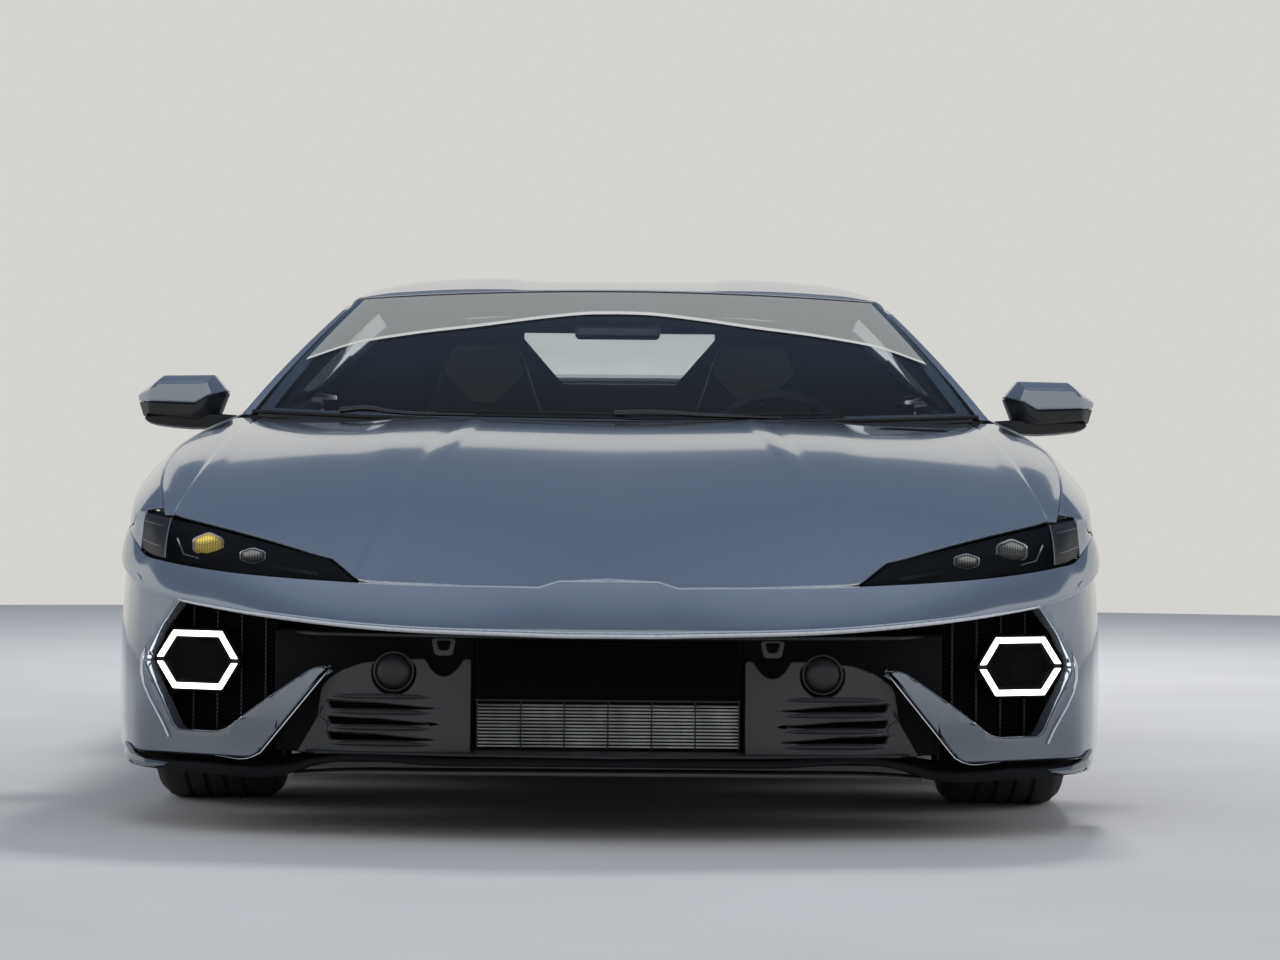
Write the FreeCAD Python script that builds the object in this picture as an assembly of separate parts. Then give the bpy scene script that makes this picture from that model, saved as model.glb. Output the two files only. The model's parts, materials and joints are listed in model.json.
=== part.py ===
"""Low, wide mid-engined two-seat supercar at full size, in millimetres.

Frame: +Z up, the nose points to -Y, the car's own left is +X. The origin is on the ground,
midway between nose and tail. Each piece of the car is its own solid in its own STEP file.
Outer panels are ruled lofts between a few sections. A section table gives, for each station
along the car, how far each body line lies inside the half width and how high it is.
"""
import FreeCAD
import Part
import math
import os
from functools import cache

V = FreeCAD.Vector
OUT = "parts"
os.makedirs(OUT, exist_ok=True)

# ---- driving dimensions -------------------------------------------------------------------
HALF_WIDTH = 998.0            # half the width over the body, without mirrors
ROOF_TOP = 1201.0             # highest point of the roof
WHEELBASE = 2658.0
FRONT_OVERHANG = 1060.0       # nose to front axle
REAR_OVERHANG = 988.0         # rear axle to tail
GROUND_GAP = 110.0            # underside to ground

NOSE_Y = -(FRONT_OVERHANG + WHEELBASE + REAR_OVERHANG) / 2
AXLE_F = NOSE_Y + FRONT_OVERHANG
AXLE_R = AXLE_F + WHEELBASE
TAIL_Y = AXLE_R + REAR_OVERHANG

SHUT = 4.0                    # gap between neighbouring panels
HINGE_GAP = 6.0               # gap round panels that swing
SKIN = 16.0                   # thickness of a fixed body panel
BONNET_SKIN = 12.0
GLASS = 6.0

# wheels: tyre radius, tyre width, rim radius, track position of the wheel centre
FRONT = dict(y=AXLE_F, r=343.0, w=255.0, rim=262.0, x=HALF_WIDTH - 163, arch=387.0, disc=205.0)
REAR = dict(y=AXLE_R, r=364.0, w=325.0, rim=276.0, x=HALF_WIDTH - 185, arch=394.0, disc=195.0)
LINER = 4.0                   # wheel arch liner thickness
SEAT_FIT = 0.3                # clearance between a piece and what it seats on
KINGPIN_IN = 30.0             # steering axis inboard of the wheel centre plane


# ---- helpers ------------------------------------------------------------------------------
def save(name, *solids):
    """Writes one node, made of one or more closed solids."""
    found = []
    for s in solids:
        found += s.Solids
    shape = found[0] if len(found) == 1 else Part.makeCompound(found)
    shape.exportStep(os.path.join(OUT, name + ".step"))


def wire(points):
    pts = [V(*p) for p in points]
    return Part.makePolygon(pts + [pts[0]])


def loft(sections):
    """A solid ruled loft through closed sections, each a list of (x, y, z)."""
    return Part.makeLoft([wire(s) for s in sections], True, True)


def box(x0, x1, y0, y1, z0, z1):
    return Part.makeBox(x1 - x0, y1 - y0, z1 - z0, V(x0, y0, z0))


def prism_x(yz, x0, x1):
    face = Part.Face(wire([(x0, y, z) for y, z in yz]))
    return face.extrude(V(x1 - x0, 0, 0))


def prism_y(xz, y0, y1):
    face = Part.Face(wire([(x, y0, z) for x, z in xz]))
    return face.extrude(V(0, y1 - y0, 0))


def prism_z(xy, z0, z1):
    face = Part.Face(wire([(x, y, z0) for x, y in xy]))
    return face.extrude(V(0, 0, z1 - z0))


def tube_x(y, z, r, x0, x1):
    return Part.makeCylinder(r, x1 - x0, V(x0, y, z), V(1, 0, 0))


def bar(a, b, r):
    """A round bar from point a to point b."""
    a, b = V(*a), V(*b)
    return Part.makeCylinder(r, (b - a).Length, a, b - a)


def fuse(first, *others):
    return first.fuse(list(others)).removeSplitter() if others else first


def other_side(shape):
    return shape.mirror(V(0, 0, 0), V(1, 0, 0))


def save_pair(name, left):
    save(name + "_left", left)
    save(name + "_right", other_side(left))


def between(table, y):
    """A row of the table at station y, by a smooth cubic through the rows around it."""
    ys = [row[0] for row in table]
    y = min(max(y, ys[0]), ys[-1])
    k = max(i for i in range(len(ys) - 1) if ys[i] <= y)
    h = ys[k + 1] - ys[k]
    t = (y - ys[k]) / h
    out = []
    for c in range(1, len(table[0])):
        p = [row[c] for row in table]
        slope = (p[k + 1] - p[k]) / h
        m0 = (p[k + 1] - p[k - 1]) / (ys[k + 1] - ys[k - 1]) if k > 0 else slope
        m1 = (p[k + 2] - p[k]) / (ys[k + 2] - ys[k]) if k + 2 < len(ys) else slope
        out.append((2 * t**3 - 3 * t**2 + 1) * p[k] + (t**3 - 2 * t**2 + t) * h * m0
                   + (3 * t**2 - 2 * t**3) * p[k + 1] + (t**3 - t**2) * h * m1)
    return out


def stations(y0, y1, n):
    return [y0 + (y1 - y0) * i / n for i in range(n + 1)]


def inward(points, depth):
    """The section line moved towards the inside of the car by depth, corner by corner."""
    out = []
    for i, (x, z) in enumerate(points):
        x0, z0 = points[max(i - 1, 0)]
        x1, z1 = points[min(i + 1, len(points) - 1)]
        dx, dz = x1 - x0, z1 - z0
        n = math.hypot(dx, dz)
        out.append((x + dz / n * depth, z - dx / n * depth))
    return out


def shell(sections, depth):
    """A panel: outer section lines, each (y, [(x, z), ...]), given a wall of the depth inwards."""
    rings = []
    for y, line in sections:
        ring = line + inward(line, depth)[::-1]
        rings.append([(x, y, z) for x, z in ring])
    return loft(rings)


def clear_of(shape, others, moves):
    """The shape cut back from each of the others, as if those were moved by each of the moves."""
    for other in others:
        for move in moves:
            moved = other.copy()
            moved.translate(V(*move))
            shape = shape.cut(moved)
    return max(shape.Solids, key=lambda s: s.Volume)


def path_normals(points):
    """Level unit normals of a plan path, to the left of its direction."""
    out = []
    for i in range(len(points)):
        step = points[min(i + 1, len(points) - 1)] - points[max(i - 1, 0)]
        out.append(V(-step.y, step.x, 0).normalize())
    return out


def wall_along(path, depth, low, high, lean=0.0):
    """An upright wall along a plan path. Its thickness lies left of the path's direction, and
    its top edge leans that way too."""
    rings = []
    for p, n in zip(path, path_normals(path)):
        q = p + n * depth
        rings.append([(p.x, p.y, low), (p.x + n.x * lean, p.y + n.y * lean, high),
                      (q.x + n.x * lean, q.y + n.y * lean, high), (q.x, q.y, low)])
    return loft(rings)


# ---- body side lines ----------------------------------------------------------------------
# y, then inside the half width and height for: crest, shoulder, waist, lower, foot
F, R = AXLE_F, AXLE_R
WHEEL_TOP = FRONT["r"] * 2
SIDE = [
    (F - 632, 105, 616, 62, 604, 44, 480, 36, 330, 38, 275),
    (F - 507, 83, 675, 27, 628, 12, 490, 16, 330, 26, 275),
    (F - 307, 70, WHEEL_TOP + 36, 10, WHEEL_TOP - 26, 2, 520, 10, 340, 26, 275),
    (F, 66, WHEEL_TOP + 78, 8, WHEEL_TOP + 14, 0, 560, 8, 350, 26, 275),
    (F + 293, 96, WHEEL_TOP + 120, 30, WHEEL_TOP + 72, 10, 600, 22, 380, 34, 275),
    (F + 588, 150, 846, 73, 815, 36, 640, 50, 400, 40, 275),
    (F + 993, 142, 868, 96, 842, 68, 650, 73, 400, 40, 275),
    (F + 1393, 146, 888, 103, 862, 98, 650, 86, 400, 34, 275),
    (R - 895, 160, 908, 113, 882, 130, 660, 98, 400, 26, 275),
]
DOOR_FRONT = F + 590          # shut line between front wing and door
DOOR_REAR = R - 895           # shut line between door and rear quarter
SILL_TOP = 275.0


def side_line(y):
    v = between(SIDE, y)
    return [(HALF_WIDTH - v[i], v[i + 1]) for i in range(0, 10, 2)]


def crest(y):
    return side_line(y)[0]


# rear quarter: y, then x and height for: deck edge, buttress inner top, buttress outer top,
# valley, haunch crest, shoulder, waist, lower, foot (x from the half width inwards)
QUARTER = [
    (R - 887, 668, 905, 638, 1138, 406, 1128, 190, 925, 128, 930, 50, 880, 34, 700, 34, 450, 30, 275),
    (R - 665, 653, 900, 623, 1122, 413, 1108, 222, 925, 113, 925, 18, 862, 14, 690, 18, 450, 26, 275),
    (R - 365, 628, 895, 593, 1085, 418, 1070, 278, 935, 93, 915, 8, 852, 2, 690, 8, 450, 23, 275),
    (R, 593, 890, 558, 1045, 408, 1030, 308, 940, 98, 910, 10, 850, 0, 700, 6, 450, 23, 275),
    (R + 385, 548, 888, 513, 1000, 388, 990, 318, 940, 128, 905, 28, 850, 10, 710, 16, 480, 28, 300),
    (R + 735, 498, 888, 468, 965, 368, 958, 318, 935, 178, 905, 68, 855, 40, 720, 46, 500, 54, 310),
    (R + 935, 458, 890, 438, 945, 358, 940, 308, 930, 208, 912, 108, 868, 83, 740, 92, 520, 100, 330),
]


def quarter_line(y):
    v = between(QUARTER, y)
    return [(HALF_WIDTH - v[i], v[i + 1]) for i in range(0, 18, 2)]


def arch_cut(w, extra=0.0):
    """The open wheel arch of the wheel w on the left side."""
    return tube_x(w["y"], w["r"], w["arch"] + LINER + extra, 480, HALF_WIDTH + 60)


# ---- nose band, bonnet edge and lamp lines --------------------------------------------------
# the painted band that wraps the nose: inside half width, behind the nose, height of its lip,
# then the same for its upper edge
BAND = [
    (HALF_WIDTH, 0, 391, HALF_WIDTH, 72, 497),
    (830, 8, 393, 830, 78, 487),
    (525, 67, 403, 510, 132, 492),
    (249, 168, 434, 256, 212, 534),
    (122, 265, 457, 120, 330, 551),
    (58, 363, 480, 74, 404, 558),
    (13, 503, 512, 30, 500, 583),
    (3, 655, 530, 14, 655, 592),
    (3, 758, 531, 11, 758, 598),
]
# headlamp: inside half width, then behind the nose and height for its lower and upper edge
LAMP = [
    (503, 136, 497, 140, 500),
    (424, 165, 509, 258, 545),
    (298, 213, 530, 313, 572),
    (157, 300, 551, 393, 602),
    (98, 368, 558, 433, 613),
    (65, 428, 566, 470, 620),
]
BAND_DEPTH = 26.0
LAMP_DEPTH = 60.0


def front_point(row, i):
    inside, behind, z = row[i:i + 3]
    return HALF_WIDTH - inside, NOSE_Y + behind, z


# bonnet surface: inside half width, then (behind nose, height) at front, middle and rear
BONNET = [
    (HALF_WIDTH, 70, 499, 653, 683, 1290, 822),
    (668, 98, 490, 653, 690, 1310, 828),
    (509, 132, 494, 653, 691, 1345, 825),
    (424, 222, 531, 693, 696, 1380, 822),
    (186, 370, 594, 900, 738, 1450, 822),
    (60, 428, 616, 953, 742, 1500, 838),
]
# plan of the bonnet's front and rear edge: inside half width, behind nose
BONNET_FRONT = [(HALF_WIDTH, 72), (902, 74), (874, 66), (510, 132), (424, 258), (126, 424)]
BONNET_REAR = [(HALF_WIDTH, 1286), (698, 1303), (398, 1390), (198, 1490)]
EDGE_END = F + 440            # where the bonnet's side edge meets its rear edge
EDGE_START = F - 632          # where it meets the headlamp


def bonnet_outline(gap):
    """Half plan of the bonnet, from the middle of its front edge round to its rear edge."""
    front = [(HALF_WIDTH - inside, NOSE_Y + behind) for inside, behind in BONNET_FRONT]
    side = [(crest(y)[0] - gap, y) for y in stations(EDGE_START, EDGE_END, 10)]
    rear = [(HALF_WIDTH - inside, NOSE_Y + behind) for inside, behind in BONNET_REAR[::-1]]
    return front + side + rear


def bonnet_top(row):
    """Arc of the bonnet's top in one plane of constant x, as its three points."""
    x = HALF_WIDTH - row[0]
    return [V(x, NOSE_Y + row[i], row[i + 1]) for i in (1, 3, 5)]


def bonnet_section(row, depth):
    a, m, b = bonnet_top(row)
    down = V(0, 0, -depth)
    edges = [Part.Arc(a, m, b).toShape(), Part.LineSegment(b, b + down).toShape(),
             Part.Arc(b + down, m + down, a + down).toShape(), Part.LineSegment(a + down, a).toShape()]
    return Part.Wire(edges)


# ---- glass and roof lines -------------------------------------------------------------------
SCREEN_BASE = [(HALF_WIDTH - 198, F + 481, 842), (0, F + 238, 818)]     # corner and middle, lower edge
SCREEN_HEAD = [(HALF_WIDTH - 368, F + 1061, 1132), (0, F + 1031, 1154)]  # and of the upper edge
SCREEN_BULGE = 80.0           # how far the screen bows forwards of a straight one, half way up
SCREEN_PARTS = 3              # flat stretches that its upright curve is made of
# roof: y, height at the middle, then inside half width and height of channel edge, crown,
# cantrail and its foot
ROOF = [
    (F + 1003, 1150, 708, 1151, 438, 1139, 346, 1122, 334, 1098),
    (F + 1343, 1193, 708, 1201, 478, 1190, 380, 1165, 358, 1132),
    (R - 1015, 1184, 708, 1194, 483, 1180, 392, 1152, 366, 1116),
    (R - 733, 1142, 698, 1156, 498, 1140, 406, 1114, 376, 1078),
]
ROOF_SKIN = 28.0
GLASS_FOOT = (HALF_WIDTH - 136, 842.0)   # side glass plane: x and height at its foot
GLASS_HEAD = (HALF_WIDTH - 358, 1128.0)  # and at its head
DOOR_INNER = HALF_WIDTH - 223            # x of the door's inner trim
DOOR_TAPER = 32.0             # how much shorter the door is inside than outside, at its rear
BULKHEAD_Y = R - 765          # front face of the wall behind the seats
DASH_WALL_Y = F + 530


@cache
def build_front_wing():
    ys = stations(SIDE[0][0], DOOR_FRONT - SHUT / 2, 10)
    wing = shell([(y, side_line(y)) for y in ys], SKIN)
    below = prism_x([(F - 700, 0), (F - 700, 624), (F - 590, 624), (F - 560, 588), (F - 405, 597),
                     (F - 300, 600), (F, 560), (F, 0)], 600, HALF_WIDTH + 60)
    return wing.cut(below).cut(arch_cut(FRONT))


@cache
def build_door():
    """The whole door below the window, from outer skin to inner trim."""
    rings = []
    for y in stations(DOOR_FRONT + SHUT / 2 + HINGE_GAP / 2, DOOR_REAR - HINGE_GAP, 8):
        line = side_line(y)
        ring = line + [(DOOR_INNER, line[-1][1]), (DOOR_INNER, line[0][1])]
        rings.append([(x, y, z) for x, z in ring])
    back = DOOR_REAR - HINGE_GAP
    taper = prism_z([(DOOR_INNER - 20, back - DOOR_TAPER - 5), (HALF_WIDTH - 90, back + 5),
                     (DOOR_INNER - 20, back + 5)], 200, 1000)
    return loft(rings).cut(taper)


def side_glass():
    """The frameless door window: a flat pane leaning inwards."""
    (x0, z0), (x1, z1) = GLASS_FOOT, GLASS_HEAD
    lean = V(x1 - x0, 0, z1 - z0)
    across = V(z1 - z0, 0, x0 - x1).normalize()
    low = V(x0, 0, z0) - lean * 0.3
    high = V(x1, 0, z1) + lean * 0.2
    y0, y1 = DOOR_FRONT - 100, DOOR_REAR + 100
    corners = [low + V(0, y0, 0), low + V(0, y1, 0), high + V(0, y1, 0), high + V(0, y0, 0)]
    pane = Part.Face(Part.makePolygon(corners + [corners[0]])).extrude(across * -GLASS)
    sill = [(y, crest(y)[1] - 30) for y in stations(DOOR_FRONT + 12, DOOR_REAR - 16, 4)]
    head = [(DOOR_REAR - 24, 1076), (ROOF[2][0], 1102), (ROOF[1][0], 1118), (F + 1150, 1112),
            (F + 1100, 1098)]
    foot = (DOOR_FRONT + 12, 864)
    for v in stations(1, 0, SCREEN_PARTS)[1:]:
        head.append((foot[0] * (1 - v) + (F + 1100) * v - bow(v), foot[1] * (1 - v) + 1098 * v))
    pane = pane.common(prism_x(sill + head, 400, 1000)).cut(build_door())
    g = HINGE_GAP
    return clear_of(pane, [roof_and_pillars()], [(0, 0, 0), (0, 0, -g), (g, 0, 0), (0, g, 0)])


# door mirror's rim and its smaller front face: outside half width, height
MIRROR_RIM = [(-84, 862), (-54, 908), (-13, 933), (80, 930), (125, 886), (120, 850), (72, 808), (-43, 818)]
MIRROR_FRONT = [(-60, 866), (-38, 896), (-6, 912), (70, 908), (100, 880), (96, 856), (60, 830), (-36, 836)]


def build_mirror():
    """Door mirror: faceted housing on a short arm that stands on the door's shoulder."""
    y0, y1 = F + 600, F + 730
    w, back = HALF_WIDTH, y1 - 30
    faces = [(y0, MIRROR_FRONT), (y0 + 35, MIRROR_RIM), (y1, MIRROR_RIM)]
    housing = loft([[(w + out, y, z) for out, z in face] for y, face in faces])
    arm = loft([[(w - 118, y0 + 20, 834), (w - 72, y0 + 20, 806), (w - 72, back, 806), (w - 118, back, 834)],
                [(w - 48, y0 + 30, 850), (w + 22, y0 + 30, 825), (w + 22, back + 5, 825),
                 (w - 48, back + 5, 850)]])
    return fuse(housing, arm).cut(build_door())


@cache
def build_bonnet():
    rows = [(2 * HALF_WIDTH - r[0],) + r[1:] for r in BONNET[:0:-1]] + BONNET
    slab = Part.makeLoft([bonnet_section(r, BONNET_SKIN) for r in rows], True, True)
    half = bonnet_outline(HINGE_GAP)
    outline = half + [(-x, y) for x, y in half[::-1] if x > 0]
    lid = slab.common(prism_z(outline, 300, 1000))
    g = HINGE_GAP
    lid = clear_of(lid, [build_bumper()], [(0, 0, 0), (0, g, 0), (0, g / 2, g / 2)])
    for side in (1, -1):
        fixed = [build_front_wing(), build_headlamp()]
        if side < 0:
            fixed = [other_side(f) for f in fixed]
        lid = clear_of(lid, fixed, [(0, 0, 0), (-side * g, 0, 0), (-side * g, 0, -15), (-side * g, 0, -30),
                                    (-side * g / 2, g / 2, g / 2)])
    return lid


def build_band():
    """The painted band that wraps the nose from one front wheel arch to the other."""
    half = [(V(*front_point(row, 0)), V(*front_point(row, 3))) for row in BAND]
    pairs = [(V(-a.x, a.y, a.z), V(-b.x, b.y, b.z)) for a, b in half[:0:-1]] + half
    rings = []
    for (lip, top), n in zip(pairs, path_normals([lip for lip, top in pairs])):
        back = n * BAND_DEPTH
        rings.append([tuple(p) for p in (lip, top, top + back, lip + back)])
    return loft(rings)


# plan of the cheek below the band: inside half width, behind the nose
CHEEK = [(500, 140), (466, 146), (318, 170), (195, 245), (122, 300), (80, 330), (48, 393), (26, 473),
         (10, 563), (5, 640), (4, 715)]
# front view of the painted cheek with its slanted inner wing: inside half width, height
CHEEK_FACE = [(466, 319), (450, 329), (428, 324), (247, 198), (142, 198), (138, 182), (80, 330),
              (113, 395), (148, 445), (148, 520), (-12, 545), (-12, 141), (318, 149)]
CHEEK_DEPTH = 42.0


def build_cheek():
    path = [V(HALF_WIDTH - inside, NOSE_Y + behind - 8, 0) for inside, behind in CHEEK]
    wall = wall_along(path, CHEEK_DEPTH, 135, 560, 8)
    return wall.common(prism_y([(HALF_WIDTH - i, z) for i, z in CHEEK_FACE], NOSE_Y - 50, F))


@cache
def build_bumper():
    cheek = build_cheek()
    whole = fuse(build_band(), cheek, other_side(cheek))
    return whole.cut(arch_cut(FRONT)).cut(other_side(arch_cut(FRONT)))


@cache
def build_headlamp():
    rings = []
    for row in LAMP:
        low, high = V(*front_point(row, 0)), V(HALF_WIDTH - row[0], NOSE_Y + row[3], row[4])
        foot = low.z - 12
        rings.append([tuple(low), tuple(high), (high.x, high.y + 4, max(high.z - 26, foot + 2)),
                      (low.x, max(low.y + LAMP_DEPTH, high.y + 3), foot), (low.x, low.y, foot)])
    return loft(rings).cut(build_bumper()).cut(build_front_wing())


# hexagonal lamp in the cheek: inside half width, height
HEX = [(284, 331), (246, 393), (140, 393), (100, 331), (140, 270), (246, 270)]
CORNER_X0, CORNER_X1 = HALF_WIDTH - 338, HALF_WIDTH - 118      # corner radiator: inner and outer side
CORNER_BEHIND = 300.0                    # its inner front corner behind the nose
CORNER_SWEEP = 0.5                       # how far it turns back for each unit outwards
LAMP_AHEAD = 92.0                        # hexagonal lamp's face ahead of the corner radiator


def corner_plane(x, ahead):
    return NOSE_Y + CORNER_BEHIND + (x - CORNER_X0) * CORNER_SWEEP - ahead


def build_hex_lamp():
    face = [(HALF_WIDTH - inside, z) for inside, z in HEX]
    return loft([[(x, corner_plane(x, ahead), z) for x, z in face] for ahead in (LAMP_AHEAD, SEAT_FIT)])


# splitter: inside half width, behind the nose, height of its underside and top
SPLITTER = [(HALF_WIDTH, 16, 146, 160), (698, 40, 144, 158), (438, 92, 140, 154), (378, 108, 120, 138),
            (198, 190, 118, 136), (98, 285, 118, 136), (48, 345, 120, 138), (36, 400, 124, 141)]
SPLITTER_BACK = 470.0


def build_splitter():
    half = []
    for inside, behind, low, high in SPLITTER:
        y0, y1 = NOSE_Y + behind, NOSE_Y + SPLITTER_BACK
        half.append([(HALF_WIDTH - inside, y0, low), (HALF_WIDTH - inside, y0, high),
                     (HALF_WIDTH - inside, y1, high), (HALF_WIDTH - inside, y1, low)])
    flip = [[(-x, y, z) for x, y, z in ring] for ring in half[:0:-1]]
    return loft(flip + half)


CORE_HALF, CORE_FOOT, CORE_TOP = 258.0, 168.0, 387.0    # opening for the middle radiator
INTAKE_TOP = 395.0


def build_intake_panel():
    """Black inner front: top and bottom shelf and the two brake duct boxes between them."""
    duct = [(CORE_HALF + 4, 161), (CORE_HALF + 4, 345), (470, 345), (552, 300), (560, 230), (600, 161)]
    side = prism_y(duct, NOSE_Y + 100, NOSE_Y + 200)
    wide, foot = CORNER_X0 - 20, SPLITTER[0][3] + SEAT_FIT
    half = [(0, NOSE_Y + BAND_DEPTH + SEAT_FIT), (300, NOSE_Y + 66), (wide - 80, NOSE_Y + 120),
            (wide, NOSE_Y + 260)]
    shelf = half + [(-x, y) for x, y in half[:0:-1]]
    top = prism_z(shelf, CORE_TOP, INTAKE_TOP)
    low = prism_z(shelf, foot, CORE_FOOT)
    wall = box(-wide, wide, NOSE_Y + 200, NOSE_Y + 215, foot, INTAKE_TOP)
    wall = wall.cut(box(-CORE_HALF, CORE_HALF, NOSE_Y + 190, NOSE_Y + 230, CORE_FOOT, CORE_TOP))
    return fuse(wall, top, low, side, other_side(side)).cut(build_bumper())


def build_radiators():
    half = CORE_HALF - 2
    core = box(-half, half, NOSE_Y + 165, NOSE_Y + 214, CORE_FOOT + SEAT_FIT, CORE_TOP - SEAT_FIT)
    foot = SPLITTER[3][3] + SEAT_FIT
    frame = [(CORNER_X0, foot), (CORNER_X0, 420), (CORNER_X1, 420), (CORNER_X1, foot)]
    corner = loft([[(x, corner_plane(x, ahead), z) for x, z in frame] for ahead in (0, -40)])
    return core, corner, other_side(corner)


def bow(v):
    """How far the screen and its pillars bow forwards at the share v of their height."""
    return SCREEN_BULGE * 4 * v * (1 - v)


@cache
def build_screen():
    (base, base_mid), (head, head_mid) = [[V(*p) for p in line] for line in (SCREEN_BASE, SCREEN_HEAD)]
    arcs = []
    for v in stations(0, 1, SCREEN_PARTS):
        forward = V(0, -bow(v), 0)
        side = base * (1 - v) + head * v + forward
        middle = base_mid * (1 - v) + head_mid * v + forward
        arcs.append(Part.Arc(V(-side.x, side.y, side.z), middle, side).toShape())
    run = head_mid - base_mid
    inside = V(0, run.z, -run.y).normalize() * GLASS
    return fuse(*[Part.makeRuledSurface(a, b).extrude(inside) for a, b in zip(arcs, arcs[1:])])


def roof_line(y):
    v = between(ROOF, y)
    half = [(0, v[0])] + [(HALF_WIDTH - v[i], v[i + 1]) for i in range(1, 9, 2)]
    return [(-x, z) for x, z in half[:0:-1]] + half


@cache
def roof_and_pillars():
    roof = shell([(y, roof_line(y)) for y in stations(ROOF[0][0], ROOF[-1][0], 8)], ROOF_SKIN)
    (xh, yh, _), (_, yhm, _) = SCREEN_HEAD
    lead = [(-800, F + 900), (800, F + 900), (800, yh + 12), (xh, yh + 4), (300, yhm + 11), (0, yhm + 4),
            (-300, yhm + 11), (-xh, yh + 4), (-800, yh + 12)]
    roof = roof.cut(prism_z(lead, 1000, 1300))
    (xb, yb, zb) = SCREEN_BASE[0]
    foot, head = zb - 8, 1116
    low = [(xb + 2, yb - 4), (xb + 46, yb + 10), (xb + 46, yb + 46), (xb + 2, yb + 46)]
    high = [(xh + 2, yh + 2), (xh + 32, yh + 14), (xh + 24, yh + 46), (xh - 16, yh + 46)]
    front = loft([[(a * (1 - v) + c * v, b * (1 - v) + d * v - bow(v), foot + (head - foot) * v)
                   for (a, b), (c, d) in zip(low, high)] for v in stations(0, 1, SCREEN_PARTS)])
    foot, head = 936, 1092
    y0, y1 = DOOR_REAR, BULKHEAD_Y + 30
    low = [(223, y0 + 30), (192, y0 + 30), (206, y1 + 2), (238, y1 + 2)]
    high = [(406, y0 + 12), (378, y0 + 12), (386, y1), (418, y1)]
    rear = loft([[(HALF_WIDTH - inside, y, z) for inside, y in ring]
                 for ring, z in ((low, foot), (high, head))])
    return fuse(roof, front, other_side(front), rear, other_side(rear))


@cache
def build_roof():
    """Roof skin with its screen pillars and the panels behind the side windows."""
    quarter = build_quarter()
    return roof_and_pillars().cut(quarter).cut(other_side(quarter))


WINDOW = [(-255, 1088), (255, 1088), (255, 1070), (150, 950), (-150, 950), (-255, 1070)]


BAY_HALF = 482.0              # half width of the luggage box, outside
BAY_WALL = 12.0
RAIL_IN, RAIL_OUT = 300.0, 350.0      # rear rails: inner and outer face
POST_OUT = DOOR_INNER - SEAT_FIT      # outer face of the cabin side, which the door's seal meets
TRAY = 10.0                           # thickness of the undertray
WALL = 28.0                           # thickness of the wall behind the seats
SILL_IN = 36.0                        # outer face of the sill, inside half width
PAD_IN, PAD_SIZE = 68.0, 60.0         # jacking pad: outer side inside half width, and its width


def bump_stops(lid, places, foot):
    """Round buffers at the (x, y) places, from height foot up to just below the closed lid."""
    low = lid.copy()
    low.translate(V(0, 0, -SEAT_FIT))
    stops = []
    for x, y in places:
        rest = Part.makeCylinder(BAY_WALL / 2, 600, V(x, y, foot)).cut(low)
        stops.append(min(rest.Solids, key=lambda s: s.CenterOfMass.z))
    return stops


def build_cowl():
    """Closing panel in front of the screen's lower edge."""
    (xb, yb, zb), (_, ym, zm) = SCREEN_BASE
    rings = []
    for x in stations(-xb + 8, xb - 8, 8):
        t = (x / xb) ** 2
        y, z = ym + (yb - ym) * t, zm + (zb - zm) * t
        rings.append([(x, y - 3, 770), (x, y - 3, z - 4), (x, y + 40, z + 3), (x, y + 40, 770)])
    return loft(rings).cut(build_screen())


def build_luggage_box():
    """Open-topped box under the bonnet, with the bonnet's buffers and the two front rails."""
    front, inner = F - 520, BAY_HALF - BAY_WALL
    bay = box(-BAY_HALF, BAY_HALF, front, DASH_WALL_Y, 190, 800).cut(
        box(-inner, inner, front + BAY_WALL, DASH_WALL_Y - BAY_WALL, 190 + BAY_WALL, 810))
    rim = prism_x([(front - 10, 590), (F - 300, 655), (F, 715), (F + 300, 765), (DASH_WALL_Y + 10, 782),
                   (DASH_WALL_Y + 10, 900), (front - 10, 900)], -500, 500)
    bay = bay.cut(rim)
    wide = BAY_HALF - BAY_WALL / 2                 # middle of the side walls
    places = [(x, F + ahead) for ahead in (-400, 100) for x in (wide, -wide)]
    stops = bump_stops(build_bonnet(), places, 560)
    rails = [box(side * 400 - 25, side * 400 + 25, NOSE_Y + 215, front, 220, 300) for side in (1, -1)]
    return fuse(bay, *stops, *rails)


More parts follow.
